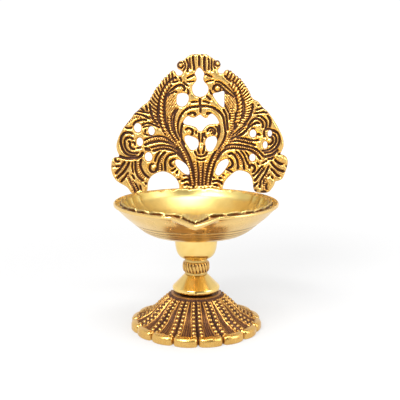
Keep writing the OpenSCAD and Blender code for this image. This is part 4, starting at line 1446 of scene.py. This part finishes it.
def camera():
    data = bpy.data.cameras.new("camera")
    data.sensor_width = 36
    data.lens = 72.95
    data.shift_x = 0.0098
    data.shift_y = -0.02
    data.clip_start = 0.01
    item = bpy.data.objects.new("camera", data)
    spot = Vector((math.sin(CAMERA_AZIMUTH) * CAMERA_REACH, -math.cos(CAMERA_AZIMUTH) * CAMERA_REACH,
                   CAMERA_HEIGHT)) * MM
    place(item, spot, Vector((0, 0, AIM_Z * MM)))
    bpy.context.scene.camera = item


def area_light(name, spot, size, power):
    data = bpy.data.lights.new(name, "AREA")
    data.shape = "RECTANGLE"
    data.size, data.size_y = size
    data.energy = power
    place(bpy.data.objects.new(name, data), spot, LIGHT_AIM)


def floor():
    """A light floor that glows more further out, so that it fades into the white behind."""
    mesh = bpy.data.meshes.new("floor")
    corners = [(x * FLOOR_HALF, y * FLOOR_HALF, 0) for x, y in ((-1, -1), (1, -1), (1, 1), (-1, 1))]
    mesh.from_pydata(corners, [], [(0, 1, 2, 3)])
    material, tree, shader = new_material("floor")
    shader.inputs["Base Color"].default_value = (0.2, 0.2, 0.2, 1)
    shader.inputs["Roughness"].default_value = 0.8
    shader.inputs["Emission Color"].default_value = (1, 1, 1, 1)
    reach = add(tree, "ShaderNodeVectorMath", operation="LENGTH")
    link(tree, tree.nodes.new("ShaderNodeTexCoord").outputs["Object"], reach.inputs[0])
    glow = map_range(tree, reach.outputs["Value"], 0.1, 0.7, 0.58, 0.95)
    link(tree, glow, shader.inputs["Emission Strength"])
    mesh.materials.append(material)
    item = bpy.data.objects.new("floor", mesh)
    bpy.context.scene.collection.objects.link(item)


def world():
    """Soft tent light: bright sides, top and back, dimmer toward the camera; plain white behind."""
    scene = bpy.context.scene
    scene.world = bpy.data.worlds.new("world")
    scene.world.use_nodes = True
    tree = scene.world.node_tree
    background = tree.nodes["Background"]
    direction = tree.nodes.new("ShaderNodeTexCoord").outputs["Generated"]
    split = add(tree, "ShaderNodeSeparateXYZ")
    link(tree, direction, split.inputs[0])
    toward_camera = math_node(tree, "MULTIPLY", split.outputs["Y"], -1.0)
    front = map_range(tree, toward_camera, 0.35, 0.9, 1.0, 0.2)
    height = map_range(tree, split.outputs["Z"], 0.58, 0.9, 1.0, 0.4)
    tent = math_node(tree, "MULTIPLY", front, height)
    seen = tree.nodes.new("ShaderNodeLightPath").outputs["Is Camera Ray"]
    level = add(tree, "ShaderNodeMix")
    link(tree, seen, level.inputs[0])
    link(tree, tent, level.inputs[2])
    level.inputs[3].default_value = 1.05
    link(tree, level.outputs[0], background.inputs["Strength"])
    background.inputs["Color"].default_value = (1, 1, 1, 1)
    scene.view_settings.view_transform = "Standard"


camera()
floor()
world()
area_light("key", (-0.22, -0.42, 0.48), (0.3, 0.22), 5)
area_light("fill", (0.5, -0.2, 0.3), (0.25, 0.4), 1.5)
area_light("top", (0.05, -0.1, 0.65), (0.34, 0.24), 3)
